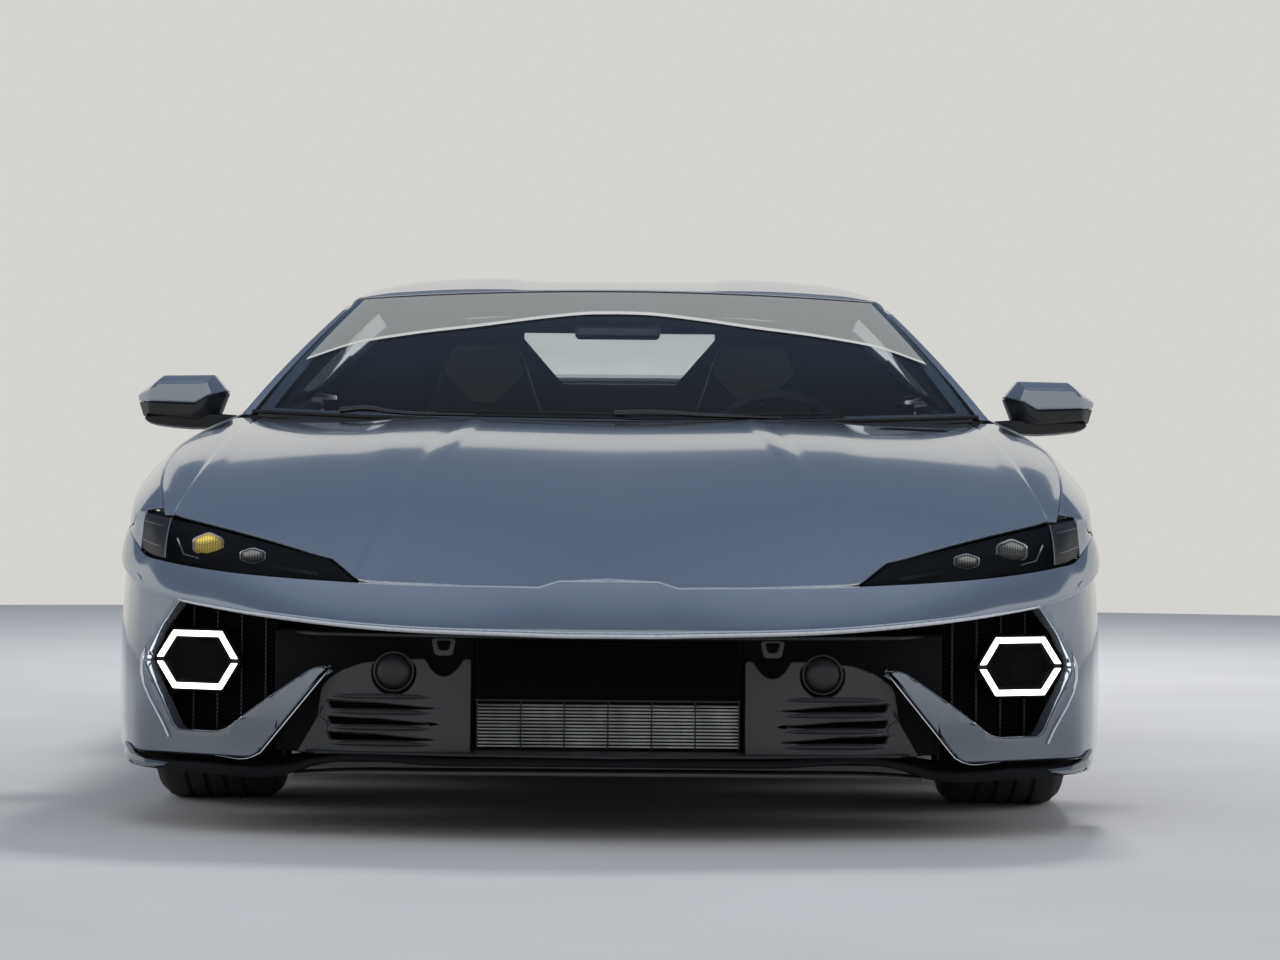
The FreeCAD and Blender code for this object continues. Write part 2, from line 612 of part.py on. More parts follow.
def build_tub():
    """Floor, sills, posts, tunnel, dash wall and the wall behind the seats."""
    foot, floor_top, inner = GROUND_GAP + TRAY, GROUND_GAP + TRAY + 28, POST_OUT - 34.7
    wall_back = BULKHEAD_Y + WALL
    floor = box(-inner - 20, inner + 20, DASH_WALL_Y, wall_back, foot, floor_top)
    sides = []
    for side in (1, -1):
        w = side * HALF_WIDTH
        yz = [(F + 412, foot), (F + 412, SILL_TOP - 13), (R - 430, SILL_TOP - 13), (R - 430, foot)]
        sill = prism_x(yz, side * (inner - 50), w - side * SILL_IN)
        cut = prism_z([(w - side * 58, F + 400), (w - side * 8, F + 400), (w - side * 8, F + 520)], 100, 300)
        x0, x1 = sorted((w - side * PAD_IN, w - side * (PAD_IN + PAD_SIZE)))
        pad = box(x0, x1, -PAD_SIZE, PAD_SIZE, GROUND_GAP, foot)
        x0, x1 = sorted((side * inner, side * POST_OUT))
        upstand = box(x0, x1, DASH_WALL_Y, BULKHEAD_Y, floor_top, 330)
        rear_post = box(x0, x1, DOOR_REAR - 60, wall_back, floor_top, 900)
        x0, x1 = sorted((side * (POST_OUT + 29.3), side * (POST_OUT + 69.3)))
        front_post = box(x0, x1, F + 480, F + 524, SILL_TOP - 13, SCREEN_BASE[0][2] - 8)
        x0, x1 = sorted((side * inner, side * (POST_OUT + 69.3)))
        brace = box(x0, x1, DASH_WALL_Y - 50, DASH_WALL_Y, SILL_TOP - 13, 420)
        sides += [sill.cut(cut), pad, upstand, rear_post, front_post, brace]
    tunnel = box(-105, 105, DASH_WALL_Y, BULKHEAD_Y, floor_top, 400)
    dash = box(-inner - 25, inner + 25, DASH_WALL_Y, DASH_WALL_Y + 25, floor_top, 790)
    corner = SCREEN_BASE[0][0] - 10
    half = [(0, F + 262), (300, F + 300), (corner - 190, F + 410), (corner, F + 510), (corner, F + 555)]
    scuttle = prism_z(half + [(-x, y) for x, y in half[:0:-1]], 782, 796)
    roof_edge = inward(roof_line(BULKHEAD_Y + 14), ROOF_SKIN + 2)
    wide = inner + 15
    wall = prism_y(roof_edge + [(wide, 926), (wide, floor_top), (-wide, floor_top), (-wide, 926)],
                   BULKHEAD_Y, wall_back)
    wall = wall.cut(prism_y(WINDOW, BULKHEAD_Y - 10, BULKHEAD_Y + 40)).cut(roof_and_pillars())
    return fuse(floor, *sides, tunnel, dash, scuttle, build_cowl(), wall, *lid_brackets())


def build_rear_frame():
    """Two rails behind the cabin that carry engine, suspension and rear bumper."""
    frames = []
    for side in (1, -1):
        x0, x1 = sorted((side * RAIL_IN, side * RAIL_OUT))
        rail = box(x0, x1, BULKHEAD_Y + WALL, TAIL_Y - 20, 340, 420)
        pads = [box(x0, x1, R + reach - 24, R + reach + 24, 240, 490) for reach in (-150, 150)]
        frames.append(clear_of(fuse(rail, *pads), [build_rear_bumper()], [(0, 0, 0)]))
    return frames


def build_undertray():
    plan = [(98, NOSE_Y + SPLITTER_BACK), (98, F - 400), (498, F - 396), (498, F + 396), (308, F + 402),
            (243, R - 440), (398, R - 402), (398, R + 402), (138, R + 410), (138, R + 585)]
    half = [(HALF_WIDTH - inside, y) for inside, y in plan]
    flat = prism_z(half + [(-x, y) for x, y in half[::-1]], GROUND_GAP, GROUND_GAP + TRAY)
    y0, y1 = R + 585, TAIL_Y - 20
    wide = HALF_WIDTH - 298
    ramp = prism_x([(y0, GROUND_GAP), (y1, 300), (y1, 312), (y0, GROUND_GAP + TRAY)], -wide, wide)
    fins = [prism_x([(y0 + 40, GROUND_GAP), (y1, 150), (y1, 305), (y0 + 40, GROUND_GAP + 25)], x - 4, x + 4)
            for x in (10 - wide, -430, -200, 200, 430, wide - 10)]
    return fuse(flat, ramp, *fins)


@cache
def build_quarter():
    """Rear quarter: haunch, side and the buttress that runs back from the roof."""
    ys = [QUARTER[0][0], R - 729, R - 665, R - 530, R - 365, R - 180, R, R + 190, R + 385, R + 560,
          R + 735, R + 935]
    quarter = shell([(y, quarter_line(y)) for y in ys], SKIN)
    upper = prism_x([(QUARTER[0][0] - 30, 945), (R - 729, 945), (R - 729, 1300), (QUARTER[0][0] - 30, 1300)],
                    200, HALF_WIDTH - 228)
    inner = box(200, HALF_WIDTH - 226, QUARTER[0][0] - 30, R - 729, 850, 1300)
    return quarter.cut(upper).cut(inner).cut(arch_cut(REAR))


def build_side_duct():
    """Duct behind the side intake: its inner wall and floor."""
    y0, y1 = QUARTER[0][0] + 6, R - 360
    w = HALF_WIDTH
    wall = prism_z([(w - 140, y0), (w - 128, y0), (w - 186, y1), (w - 198, y1)], 300, 860)
    floor = prism_z([(w - 140, y0), (w - 58, y0), (w - 58, y1 - 60), (w - 194, y1)], 300, 312)
    return fuse(wall, floor).cut(arch_cut(REAR)).cut(build_quarter())


# deck over the engine: y, height at its sides and in the middle
DECK = [
    (BULKHEAD_Y + 60, 930, 950),
    (R - 300, 926, 968),
    (R + 200, 921, 958),
    (R + 730, 918, 925),
    (TAIL_Y - 20, 928, 930),
]
LID_START, LID_END = DECK[0][0], DECK[3][0]
LID_SKIN = 14.0
LID_AXIS = (BULKHEAD_Y + 46, 934.0)      # y and height of the lid's hinge line
LID_HINGES = (220.0, -220.0)             # middle of each hinge
BARREL_R, BARREL_LENGTH = 8.0, 40.0
EAR = 10.0                               # thickness of the ears that hold a hinge barrel


def deck_ring(y, gap, lift=0.0):
    side, middle = between(DECK, y)
    (x0, z0), (x1, z1) = quarter_line(y)[:2]
    x = x0 + (x1 - x0) * (side + lift - z0) / (z1 - z0) - gap
    top = [(-x, side), (-x * 0.55, middle), (x * 0.55, middle), (x, side)]
    return ([(a, y, z + lift) for a, z in top] + [(a, y, z + lift - LID_SKIN) for a, z in top[::-1]])


def build_engine_lid():
    lid = loft([deck_ring(y, HINGE_GAP) for y in stations(LID_START, LID_END, 6)])
    y, z = LID_AXIS
    parts = []
    for x in LID_HINGES:
        half = BARREL_LENGTH / 2
        end = LID_START + 30
        arm = prism_x([(y, z - 5), (y, z + 5), (end, 945), (end, 932)], x - half, x + half)
        parts += [tube_x(y, z, BARREL_R, x - half, x + half), arm]
    return fuse(lid, *parts)


def lid_brackets():
    """Ears on the wall behind the seats, one each side of every hinge barrel."""
    y, z = LID_AXIS
    ears = []
    for x in LID_HINGES:
        for side in (1, -1):
            near = x + side * (BARREL_LENGTH / 2 + SEAT_FIT)
            x0, x1 = sorted((near, near + side * EAR))
            ears += [tube_x(y, z, BARREL_R, x0, x1), box(x0, x1, BULKHEAD_Y + 20, y, z - 30, z + 2)]
    return ears


def build_rear_deck():
    """Fixed tail deck behind the engine lid, and the upturned edge of the tail."""
    rings = [deck_ring(LID_END + HINGE_GAP, -8), deck_ring(R + 860, -8, 4), deck_ring(TAIL_Y - 60, -8, 20)]
    quarter = build_quarter()
    return clear_of(loft(rings), [quarter, other_side(quarter)], [(0, 0, 0)])


# plan of the tail: inside half width, ahead of the tail
REAR_PATH = [(96, 50), (150, 36), (298, 18), (598, 4), (HALF_WIDTH, 0)]
TAIL_LAMP = [(408, 765), (368, 815), (178, 800), (130, 752), (173, 705), (358, 712)]  # inside, height
TAIL_HEX = [(HALF_WIDTH - inside, z) for inside, z in TAIL_LAMP]
EXHAUST = [(-120, 640), (-62, 700), (62, 700), (120, 640), (62, 580), (-62, 580)]


@cache
def build_rear_bumper():
    half = [V(HALF_WIDTH - inside, TAIL_Y - ahead, 0) for inside, ahead in REAR_PATH]
    path = half + [V(-p.x, p.y, 0) for p in half[-2::-1]]
    skin = wall_along(path, 30, 330, 905, 12)
    for hole in (TAIL_HEX, [(-x, z) for x, z in TAIL_HEX], EXHAUST):
        skin = skin.cut(prism_y(hole, TAIL_Y - 300, TAIL_Y + 50))
    quarter = build_quarter()
    return clear_of(skin, [quarter, other_side(quarter)], [(0, 0, 0)])


def plug(points, y0, y1, gap):
    """A prism of the outline, shrunk towards its middle so that its nearest side clears by the gap."""
    cx = sum(p[0] for p in points) / len(points)
    cz = sum(p[1] for p in points) / len(points)
    reach = min(abs((x1 - x0) * (cz - z0) - (z1 - z0) * (cx - x0)) / math.hypot(x1 - x0, z1 - z0)
                for (x0, z0), (x1, z1) in zip(points, points[1:] + points[:1]))
    k = 1 - gap / reach
    return prism_y([(cx + (x - cx) * k, cz + (z - cz) * k) for x, z in points], y0, y1)


def build_dashboard():
    yz = [(DASH_WALL_Y + 25, 600), (DASH_WALL_Y + 25, 800), (F + 730, 815), (F + 880, 785), (F + 905, 700),
          (F + 860, 610)]
    dash = prism_x(yz, -690, 690)
    axis = V(0, math.cos(math.radians(STEER_TILT)), math.sin(math.radians(STEER_TILT)))
    hub = V(*STEER_HUB)
    column = bar(hub - axis * 140, hub - axis * (STEER_HUB_HALF + SEAT_FIT), 28)
    return fuse(dash, column)


STEER_HUB = (385.0, F + 975, 733.0)
STEER_TILT = 20.0             # column above level, in degrees
STEER_R = 178.0
STEER_HUB_HALF = 20.0         # half the hub's depth


def build_steering_wheel():
    ring = Part.makeTorus(STEER_R, 14, V(0, 0, 0), V(0, 0, 1))
    hub = Part.makeCylinder(48, 2 * STEER_HUB_HALF, V(0, 0, -STEER_HUB_HALF))
    spokes = [box(-STEER_R + 6, STEER_R - 6, -16, 16, -6, 6), box(-16, 16, -STEER_R + 6, 0, -6, 6)]
    wheel = fuse(ring, hub, *spokes)
    wheel.rotate(V(0, 0, 0), V(1, 0, 0), -90 + STEER_TILT)
    wheel.translate(V(*STEER_HUB))
    return wheel


SEAT_X, SEAT_HALF = 352.0, 232.0    # middle of a seat, and half its width


def build_seat():
    def slab(yz, half):
        return prism_x(yz, SEAT_X - half, SEAT_X + half)
    y = BULKHEAD_Y
    foot = GROUND_GAP + TRAY + 28
    base = [(y - 753, foot), (y - 773, 380), (y - 413, 350), (y - 193, 400), (y - 193, foot)]
    cushion = slab(base, SEAT_HALF)
    back = slab([(y - 393, 300), (y - 253, 820), (y - 133, 820), (y - 173, 300)], SEAT_HALF)
    head = slab([(y - 293, 800), (y - 223, 1065), (y - 133, 1065), (y - 133, 800)], 122)
    return fuse(cushion, back, head)


def build_engine():
    block = box(SEAT_FIT - RAIL_IN, RAIL_IN - SEAT_FIT, BULKHEAD_Y + 90, BULKHEAD_Y + 640, 240, 740)
    gearbox = box(-180, 180, BULKHEAD_Y + 640, BULKHEAD_Y + 1250, 240, 520)
    return fuse(block, gearbox)


# ---- wheels ----------------------------------------------------------------------------------
def ring_profile(points):
    """Turns a profile of (u, r) points, u along the axle, into a ring about the axle."""
    pts = [V(u, 0, r) for u, r in points]
    face = Part.Face(Part.makePolygon(pts + [pts[0]]))
    return face.revolve(V(0, 0, 0), V(1, 0, 0), 360)


def placed(shape, w):
    shape = shape.copy()
    shape.translate(V(w["x"], w["y"], w["r"]))
    return shape


FLANGE = 12.0                     # height of the rim's flanges
SPOKES = 10
DISC_IN, DISC_OUT = 3.0, 37.0     # brake disc faces, outboard of the wheel centre plane
HUB_R = 72.0
SPINDLE_R = 20.0


def build_tyre(w):
    h, r, seat = w["w"] / 2, w["r"], w["rim"] + SEAT_FIT
    mid = (r + seat) / 2 + 8
    bead, over = h - 16, w["rim"] + FLANGE + 2
    def line(u0, r0, u1, r1):
        return Part.LineSegment(V(u0, 0, r0), V(u1, 0, r1)).toShape()
    def arc(u0, r0, u1, r1, u2, r2):
        return Part.Arc(V(u0, 0, r0), V(u1, 0, r1), V(u2, 0, r2)).toShape()
    edges = [line(-bead, seat, -bead, over),
             arc(-bead, over, -h, mid, -h + 12, r - 12),
             arc(-h + 12, r - 12, -h + 19, r - 4, -h + 30, r),
             line(-h + 30, r, h - 30, r),
             arc(h - 30, r, h - 19, r - 4, h - 12, r - 12),
             arc(h - 12, r - 12, h, mid, bead, over),
             line(bead, over, bead, seat),
             line(bead, seat, -bead, seat)]
    face = Part.Face(Part.Wire(edges))
    return placed(face.revolve(V(0, 0, 0), V(1, 0, 0), 360), w)


def build_rim(w):
    """Rim with spokes, hub and the brake disc bolted to it."""
    h, r = w["w"] / 2, w["rim"]
    barrel = ring_profile([(-h + 14, r), (-h + 14, r + FLANGE), (-h + 6, r + FLANGE), (-h + 6, r - 9),
                           (h - 6, r - 9), (h - 6, r + FLANGE), (h - 14, r + FLANGE), (h - 14, r)])
    face_in, face_out = h - 48, h - 14
    hub = ring_profile([(DISC_OUT, 0.01), (face_out - 6, 0.01), (face_out - 6, HUB_R), (DISC_OUT, HUB_R)])
    disc = ring_profile([(DISC_IN, SPINDLE_R + SEAT_FIT), (DISC_OUT, SPINDLE_R + SEAT_FIT),
                         (DISC_OUT, w["disc"]), (DISC_IN, w["disc"])])
    spokes = []
    for k in range(SPOKES):
        pair = 3.5 if k % 2 else -3.5
        ends = [(HUB_R - 8, face_in, 17, face_out - 8, 13), (r - 5, face_in + 8, 12, face_out + 4, 9)]
        spoke = loft([[(u0, -half0, z), (u1, -half1, z), (u1, half1, z), (u0, half0, z)]
                      for z, u0, half0, u1, half1 in ends])
        spoke.rotate(V(0, 0, 0), V(1, 0, 0), 360.0 / SPOKES * k + pair)
        spokes.append(spoke)
    return placed(fuse(barrel, hub, disc, *spokes), w)


def build_upright(w):
    """Hub carrier with its spindle, king pin and brake caliper."""
    pin = Part.makeCylinder(16, 210, V(-KINGPIN_IN, 0, -105))
    carrier = tube_x(0, 0, 55, -KINGPIN_IN - 20, DISC_IN - 3)
    spindle = tube_x(0, 0, SPINDLE_R, 0, DISC_OUT - 4)
    outer, inner = w["disc"] + 17, w["disc"] - 75
    ring = tube_x(0, 0, outer, DISC_IN - 30, DISC_OUT + 24).cut(tube_x(0, 0, inner, -60, 90))
    ring = ring.cut(tube_x(0, 0, w["disc"] + 4, DISC_IN - 4, DISC_OUT + 4))
    wedge = prism_x([(0, 0), (300, 190), (300, -190)], -60, 90)
    caliper = ring.common(wedge)
    bracket = box(-27, -12, 30, inner + 30, -28, 28)
    return placed(fuse(pin, carrier, spindle, caliper, bracket), w)


def build_arms(w, inner_x):
    """Upper and lower wishbone of the left wheel w, from the blocks on the chassis at inner_x."""
    arms = []
    x, y, r = w["x"] - KINGPIN_IN, w["y"], w["r"]
    for side in (1, -1):
        z = r + side * (105 + SEAT_FIT)
        boss = Part.makeCylinder(18, 18, V(x, y, z if side > 0 else z - 18))
        parts = [boss]
        for reach in (-150, 150):
            block = box(inner_x + SEAT_FIT, inner_x + 22, y + reach - 18, y + reach + 18, z - 18, z + 18)
            parts += [block, bar((inner_x + 12, y + reach, z + side * 6), (x, y, z + side * 12), 10)]
        arms.append(fuse(*parts))
    return arms


def build_liner(w, x0):
    """Half-round wheel arch liner, from what carries it at x0 to the panel's edge."""
    x1 = HALF_WIDTH - 73
    hole = tube_x(w["y"], w["r"], w["arch"], x0 - 10, x1 + 10)
    ring = tube_x(w["y"], w["r"], w["arch"] + LINER, x0, x1).cut(hole)
    return ring.common(box(x0 - 20, x1 + 20, w["y"] - 500, w["y"] + 500, w["r"] - 60, w["r"] + 500))


def build_wipers():
    """Two parked wiper blades with their arms, lying at the foot of the screen."""
    _, y0, z0 = SCREEN_BASE[1]
    first = 1 / SCREEN_PARTS
    slope = (SCREEN_HEAD[1][2] - z0) * first / ((SCREEN_HEAD[1][1] - y0) * first - bow(first))
    blades = []
    for x0, x1, step in ((-330, 120, 0), (20, 560, 12)):
        n = 5
        rings = []
        for x in stations(x0, x1, n):
            y = y0 + 30 + step + x * x * 0.00038
            z = z0 + 7 + (30 + step) * slope + x * x * 0.00004
            rings.append([(x, y - 7, z - 5), (x, y - 2, z + 14), (x, y + 7, z + 14), (x, y + 5, z - 5)])
        rest = loft(rings).cut(build_screen()).Solids
        blades.append(max(rest, key=lambda s: s.Volume))
    return blades


def main():
    save("front_bumper", build_bumper())
    save("splitter", build_splitter())
    save("intake_panel", build_intake_panel())
    save("radiators", *build_radiators())
    save_pair("front_wing", build_front_wing())
    save_pair("headlamp", build_headlamp())
    lamp = build_hex_lamp()
    save("hex_lamps", lamp, other_side(lamp))
    save("bonnet", build_bonnet())
    save("windscreen", build_screen())
    save("roof", build_roof())
    save_pair("door", build_door())
    save_pair("door_glass", side_glass())
    save_pair("mirror", build_mirror())
    save_pair("rear_quarter", build_quarter())
    duct = build_side_duct()
    save("side_ducts", duct, other_side(duct))
    save("engine_lid", build_engine_lid())
    save("rear_deck", build_rear_deck())
    save("rear_bumper", build_rear_bumper())
    lamp = plug(TAIL_HEX, TAIL_Y - 100, TAIL_Y - 34, SEAT_FIT)
    save("tail_lamps", lamp, other_side(lamp))
    pipe = plug(EXHAUST, TAIL_Y - 180, TAIL_Y - 4, SEAT_FIT)
    save("exhaust", pipe.cut(plug(EXHAUST, TAIL_Y - 150, TAIL_Y + 5, 8)))
    save("tub", build_tub())
    save("luggage_box", build_luggage_box())
    save("rear_frame", *build_rear_frame())
    save("undertray", build_undertray())
    save("rear_window", plug(WINDOW, BULKHEAD_Y + 12, BULKHEAD_Y + 12 + GLASS, SEAT_FIT))
    save("dashboard", build_dashboard())
    save("steering_wheel", build_steering_wheel())
    save_pair("seat", build_seat())
    save("engine", build_engine())
    for end, w in (("front", FRONT), ("rear", REAR)):
        save_pair("tyre_" + end, build_tyre(w))
        save_pair("wheel_" + end, build_rim(w))
    save_pair("upright_front", build_upright(FRONT))
    back = build_upright(REAR)
    save("uprights_rear", back, other_side(back))
    arms = build_arms(FRONT, BAY_HALF) + build_arms(REAR, RAIL_OUT)
    save("suspension", *arms, *[other_side(a) for a in arms])
    liners = [build_liner(FRONT, BAY_HALF), build_liner(REAR, RAIL_OUT)]
    save("arch_liners", *liners, *[other_side(a) for a in liners])
    save("wipers", *build_wipers())


main()
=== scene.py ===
"""Studio scene of a low, wide mid-engined two-seat supercar: skins, lamps, glass, wheels and trim
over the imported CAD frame. Lengths are in metres. +Z is up, the nose points to -Y, the car's own
left is +X."""
import json
from math import copysign, cos, exp, hypot, pi, radians, sin, sqrt

import bmesh
import bpy
from mathutils import Matrix, Vector


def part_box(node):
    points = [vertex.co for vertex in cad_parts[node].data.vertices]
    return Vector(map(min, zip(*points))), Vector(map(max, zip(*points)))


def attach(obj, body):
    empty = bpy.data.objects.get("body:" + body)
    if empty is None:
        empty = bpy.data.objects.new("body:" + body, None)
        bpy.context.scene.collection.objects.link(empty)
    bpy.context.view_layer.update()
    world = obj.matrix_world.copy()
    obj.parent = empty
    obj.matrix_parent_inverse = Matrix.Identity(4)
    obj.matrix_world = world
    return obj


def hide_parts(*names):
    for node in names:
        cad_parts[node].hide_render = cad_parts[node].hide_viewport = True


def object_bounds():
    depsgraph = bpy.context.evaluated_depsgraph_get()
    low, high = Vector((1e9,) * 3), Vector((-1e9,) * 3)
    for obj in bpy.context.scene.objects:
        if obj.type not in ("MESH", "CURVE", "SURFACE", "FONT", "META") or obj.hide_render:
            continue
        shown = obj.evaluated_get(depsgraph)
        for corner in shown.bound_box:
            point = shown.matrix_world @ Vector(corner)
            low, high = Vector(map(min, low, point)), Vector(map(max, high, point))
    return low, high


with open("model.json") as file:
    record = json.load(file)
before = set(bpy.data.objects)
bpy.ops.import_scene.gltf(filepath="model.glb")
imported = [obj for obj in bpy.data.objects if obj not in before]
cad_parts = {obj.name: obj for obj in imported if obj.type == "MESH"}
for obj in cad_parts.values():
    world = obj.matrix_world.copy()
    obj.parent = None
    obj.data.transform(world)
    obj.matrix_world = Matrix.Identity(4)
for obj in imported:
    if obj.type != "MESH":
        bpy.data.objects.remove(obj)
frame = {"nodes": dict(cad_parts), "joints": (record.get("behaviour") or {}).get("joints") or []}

CAD_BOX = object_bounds()
V = Vector
MM = 0.001
SIDES = ((1, "left"), (-1, "right"))
X, Y, Z = V((1, 0, 0)), V((0, 1, 0)), V((0, 0, 1))


# ---- sizes read from the frame ----
def joint(name):
    return next(j for j in frame["joints"] if j["name"] == name)


NOSE, TAIL = CAD_BOX[0][1], CAD_BOX[1][1]
HALF = 0.998  # half width over the body
DOOR_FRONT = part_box("door_left")[0][1] - 0.005
DOOR_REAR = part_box("door_left")[1][1] + 0.006
SKIN = 0.005  # thickness of a panel's visible edge
GAP = 0.004  # shut lines


def wheel_sizes(end, **sizes):
    x, y, r = joint(f"spin_{end}_left")["pos_m"]
    return dict(x=x, y=y, r=r, **sizes)


FRONT = wheel_sizes("front", w=0.255, rim=0.262, arch=0.391, disc=0.205)
REAR = wheel_sizes("rear", w=0.325, rim=0.276, arch=0.398, disc=0.195)
F, R = FRONT["y"], REAR["y"]  # front and rear axle


# ---- tables ----
def rows(origin, table):
    """Table rows in millimetres after an origin along the car, turned into metres."""
    return [tuple([origin + row[0] * MM] + [v * MM for v in row[1:]]) for row in table]


def cubic(a, b, slope_a, slope_b, t):
    """The smooth cubic from a to b with the slopes given, at share t of the way."""
    return ((2 * t**3 - 3 * t**2 + 1) * a + (t**3 - 2 * t**2 + t) * slope_a + (3 * t**2 - 2 * t**3) * b
        + (t**3 - t**2) * slope_b)


def at(table, y):
    """The table's values at station y, by a smooth cubic through the rows around it."""
    ys = [row[0] for row in table]
    y = min(max(y, ys[0]), ys[-1])
    k = max(i for i in range(len(ys) - 1) if ys[i] <= y)
    h = ys[k + 1] - ys[k]
    t = (y - ys[k]) / h
    out = []
    for c in range(1, len(table[0])):
        p = [row[c] for row in table]
        slope = (p[k + 1] - p[k]) / h
        m0 = (p[k + 1] - p[k - 1]) / (ys[k + 1] - ys[k - 1]) if k > 0 else slope
        m1 = (p[k + 2] - p[k]) / (ys[k + 2] - ys[k]) if k + 2 < len(ys) else slope
        out.append(cubic(p[k], p[k + 1], h * m0, h * m1, t))
    return out


def linear(points, a):
    """Value at a on the straight lines through (place, value) points, the last one going on."""
    k = max(i for i in range(len(points) - 1) if points[i][0] <= a)
    (a0, b0), (a1, b1) = points[k:k + 2]
    return b0 + (b1 - b0) * ((a - a0) / (a1 - a0))


# body side: inside the half width and height for crest, shoulder, waist, lower and foot
SIDE = rows(F, [
    (-632, 105, 616, 62, 604, 44, 480, 36, 330, 38, 275),
    (-507, 83, 675, 27, 628, 12, 490, 16, 330, 26, 275),
    (-307, 70, 722, 10, 660, 2, 520, 10, 340, 26, 275),
    (0, 66, 764, 8, 700, 0, 560, 8, 350, 26, 275),
    (293, 96, 806, 30, 758, 10, 600, 22, 380, 34, 275),
    (588, 150, 846, 73, 815, 36, 640, 50, 400, 40, 275),
    (993, 142, 868, 96, 842, 68, 650, 73, 400, 40, 275),
    (1393, 146, 888, 103, 862, 98, 650, 86, 400, 34, 275),
    (1763, 160, 908, 113, 882, 130, 660, 98, 400, 26, 275),
])


def corners_at(table, y):
    """Corner points of the table's section at station y, from pairs of inside half width and height."""
    v = at(table, y)
    return [V((HALF - v[i], y, v[i + 1])) for i in range(0, len(v), 2)]


def side_line(y):
    return corners_at(SIDE, y)


# rear quarter: deck edge, buttress inner top and outer top, valley, haunch crest, shoulder,
# waist, lower, foot
QUARTER = rows(R, [
    (-887, 668, 905, 638, 1138, 406, 1128, 190, 925, 128, 930, 50, 880, 34, 700, 34, 450, 30, 275),
    (-665, 653, 900, 623, 1122, 413, 1108, 222, 925, 113, 925, 18, 862, 14, 690, 18, 450, 26, 275),
    (-365, 628, 895, 593, 1085, 418, 1070, 278, 935, 93, 915, 8, 852, 2, 690, 8, 450, 23, 275),
    (0, 593, 890, 558, 1045, 408, 1030, 308, 940, 98, 910, 10, 850, 0, 700, 6, 450, 23, 275),
    (385, 548, 888, 513, 1000, 388, 990, 318, 940, 128, 905, 28, 850, 10, 710, 16, 480, 28, 300),
    (735, 498, 888, 468, 965, 368, 958, 318, 935, 178, 905, 68, 855, 40, 720, 46, 500, 54, 310),
    (935, 458, 890, 438, 945, 358, 940, 308, 930, 208, 912, 108, 868, 83, 740, 92, 520, 100, 330),
])


def quarter_line(y):
    return corners_at(QUARTER, y)


# ---- mesh helpers ----
def steps(a, b, n):
    """n equal steps from a to b, both ends included."""
    return [a + (b - a) * i / n for i in range(n + 1)]


def circle(n):
    """n equal angles round a circle."""
    return [2 * pi * i / n for i in range(n)]


def sided(point, side):
    """The point on the car's left (side 1) or its mirror image on the right (side -1)."""
    return V((point[0] * side, point[1], point[2]))


def mirrored(rings, side):
    """Rows of points, each on the left or as its mirror image on the right."""
    return [[sided(p, side) for p in ring] for ring in rings]


def bezier(a, b, c, t):
    return a * (1 - t) ** 2 + b * (2 * t * (1 - t)) + c * t * t


def sweep_steps(y0, y1, step, arch=None):
    """Stations from y0 to y1, closer together where a wheel arch's edge is steep."""
    out = steps(y0, y1, max(2, round((y1 - y0) / step)))
    if arch:
        edges = [arch["y"] - arch["arch"] * cos(pi * i / 48) for i in range(49)]
        edges += [arch["y"] - arch["arch"] - 0.0006, arch["y"] + arch["arch"] + 0.0006]
        out = sorted({*out, *[y for y in edges if y0 < y < y1]})
    keep = [out[0]]
    for y in out[1:]:
        if y - keep[-1] > 0.0004:
            keep.append(y)
    keep[-1] = y1
    return keep


CORE_Z = 0.45  # height in the middle that crowned panels bulge away from


def section(points, soft, crown, spans):
    """A smooth section through corner points. soft is each inner corner's rounding, crown each
    span's bulge as a share of its length, spans how many faces each span gets."""
    ends = []
    n = len(points)
    for k, p in enumerate(points):
        if k in (0, n - 1):
            ends.append((p, p))
            continue
        a, b = points[k - 1] - p, points[k + 1] - p
        d = min(soft[k - 1], a.length * 0.45, b.length * 0.45)
        ends.append((p + a.normalized() * d if a.length else p, p + b.normalized() * d if b.length else p))
    out = [points[0]]
    for k in range(n - 1):
        a, b = ends[k][1], ends[k + 1][0]
        chord = b - a
        mid = (a + b) / 2
        away = V((mid.x, 0, mid.z - CORE_Z))
        if chord.length > 1e-6:
            away = away - chord * (away.dot(chord) / chord.length_squared)
        away = away.normalized() * crown[k] * chord.length if away.length > 1e-6 else V()
        for i in range(1, spans[k] + 1):
            t = i / spans[k]
            out.append(a + chord * t + away * (4 * t * (1 - t)))
        if k + 1 < n - 1:
            c, d = b, ends[k + 1][1]
            for i in range(1, 5):
                t = i / 4
                out.append(bezier(c, points[k + 1], d, t))
    return out


def clipped(line, low):
    """The section cut off below height low: what lies lower slides up to the cut."""
    for i, p in enumerate(line):
        if p.z < low and i:
            q = line[i - 1]
            t = (q.z - low) / (q.z - p.z) if q.z != p.z else 0
            return line[:i] + [q + (p - q) * max(t, 0)] * (len(line) - i)
    return line


def bridged(rings, closed=True):
    """A new mesh of the faces between neighbouring rings or rows of points, and its vertices."""
    bm = bmesh.new()
    verts = [[bm.verts.new(p) for p in ring] for ring in rings]
    bridge(bm, verts, closed)
    return bm, verts


def bridge(bm, verts, closed=True):
    n = len(verts[0])
    for a, b in zip(verts, verts[1:]):
        for j in range(n if closed else n - 1):
            k = (j + 1) % n
            bm.faces.new((a[j], a[k], b[k], b[j]))


def sheet_mesh(name, grid, outside, closed=False):
    """A mesh from a grid of points (a list of equal rows), its faces turned towards outside."""
    bm = bridged(grid, closed)[0]
    bmesh.ops.remove_doubles(bm, verts=bm.verts, dist=0.00005)
    bmesh.ops.dissolve_degenerate(bm, edges=bm.edges, dist=0.00005)
    return finish_sheet(name, bm, outside)


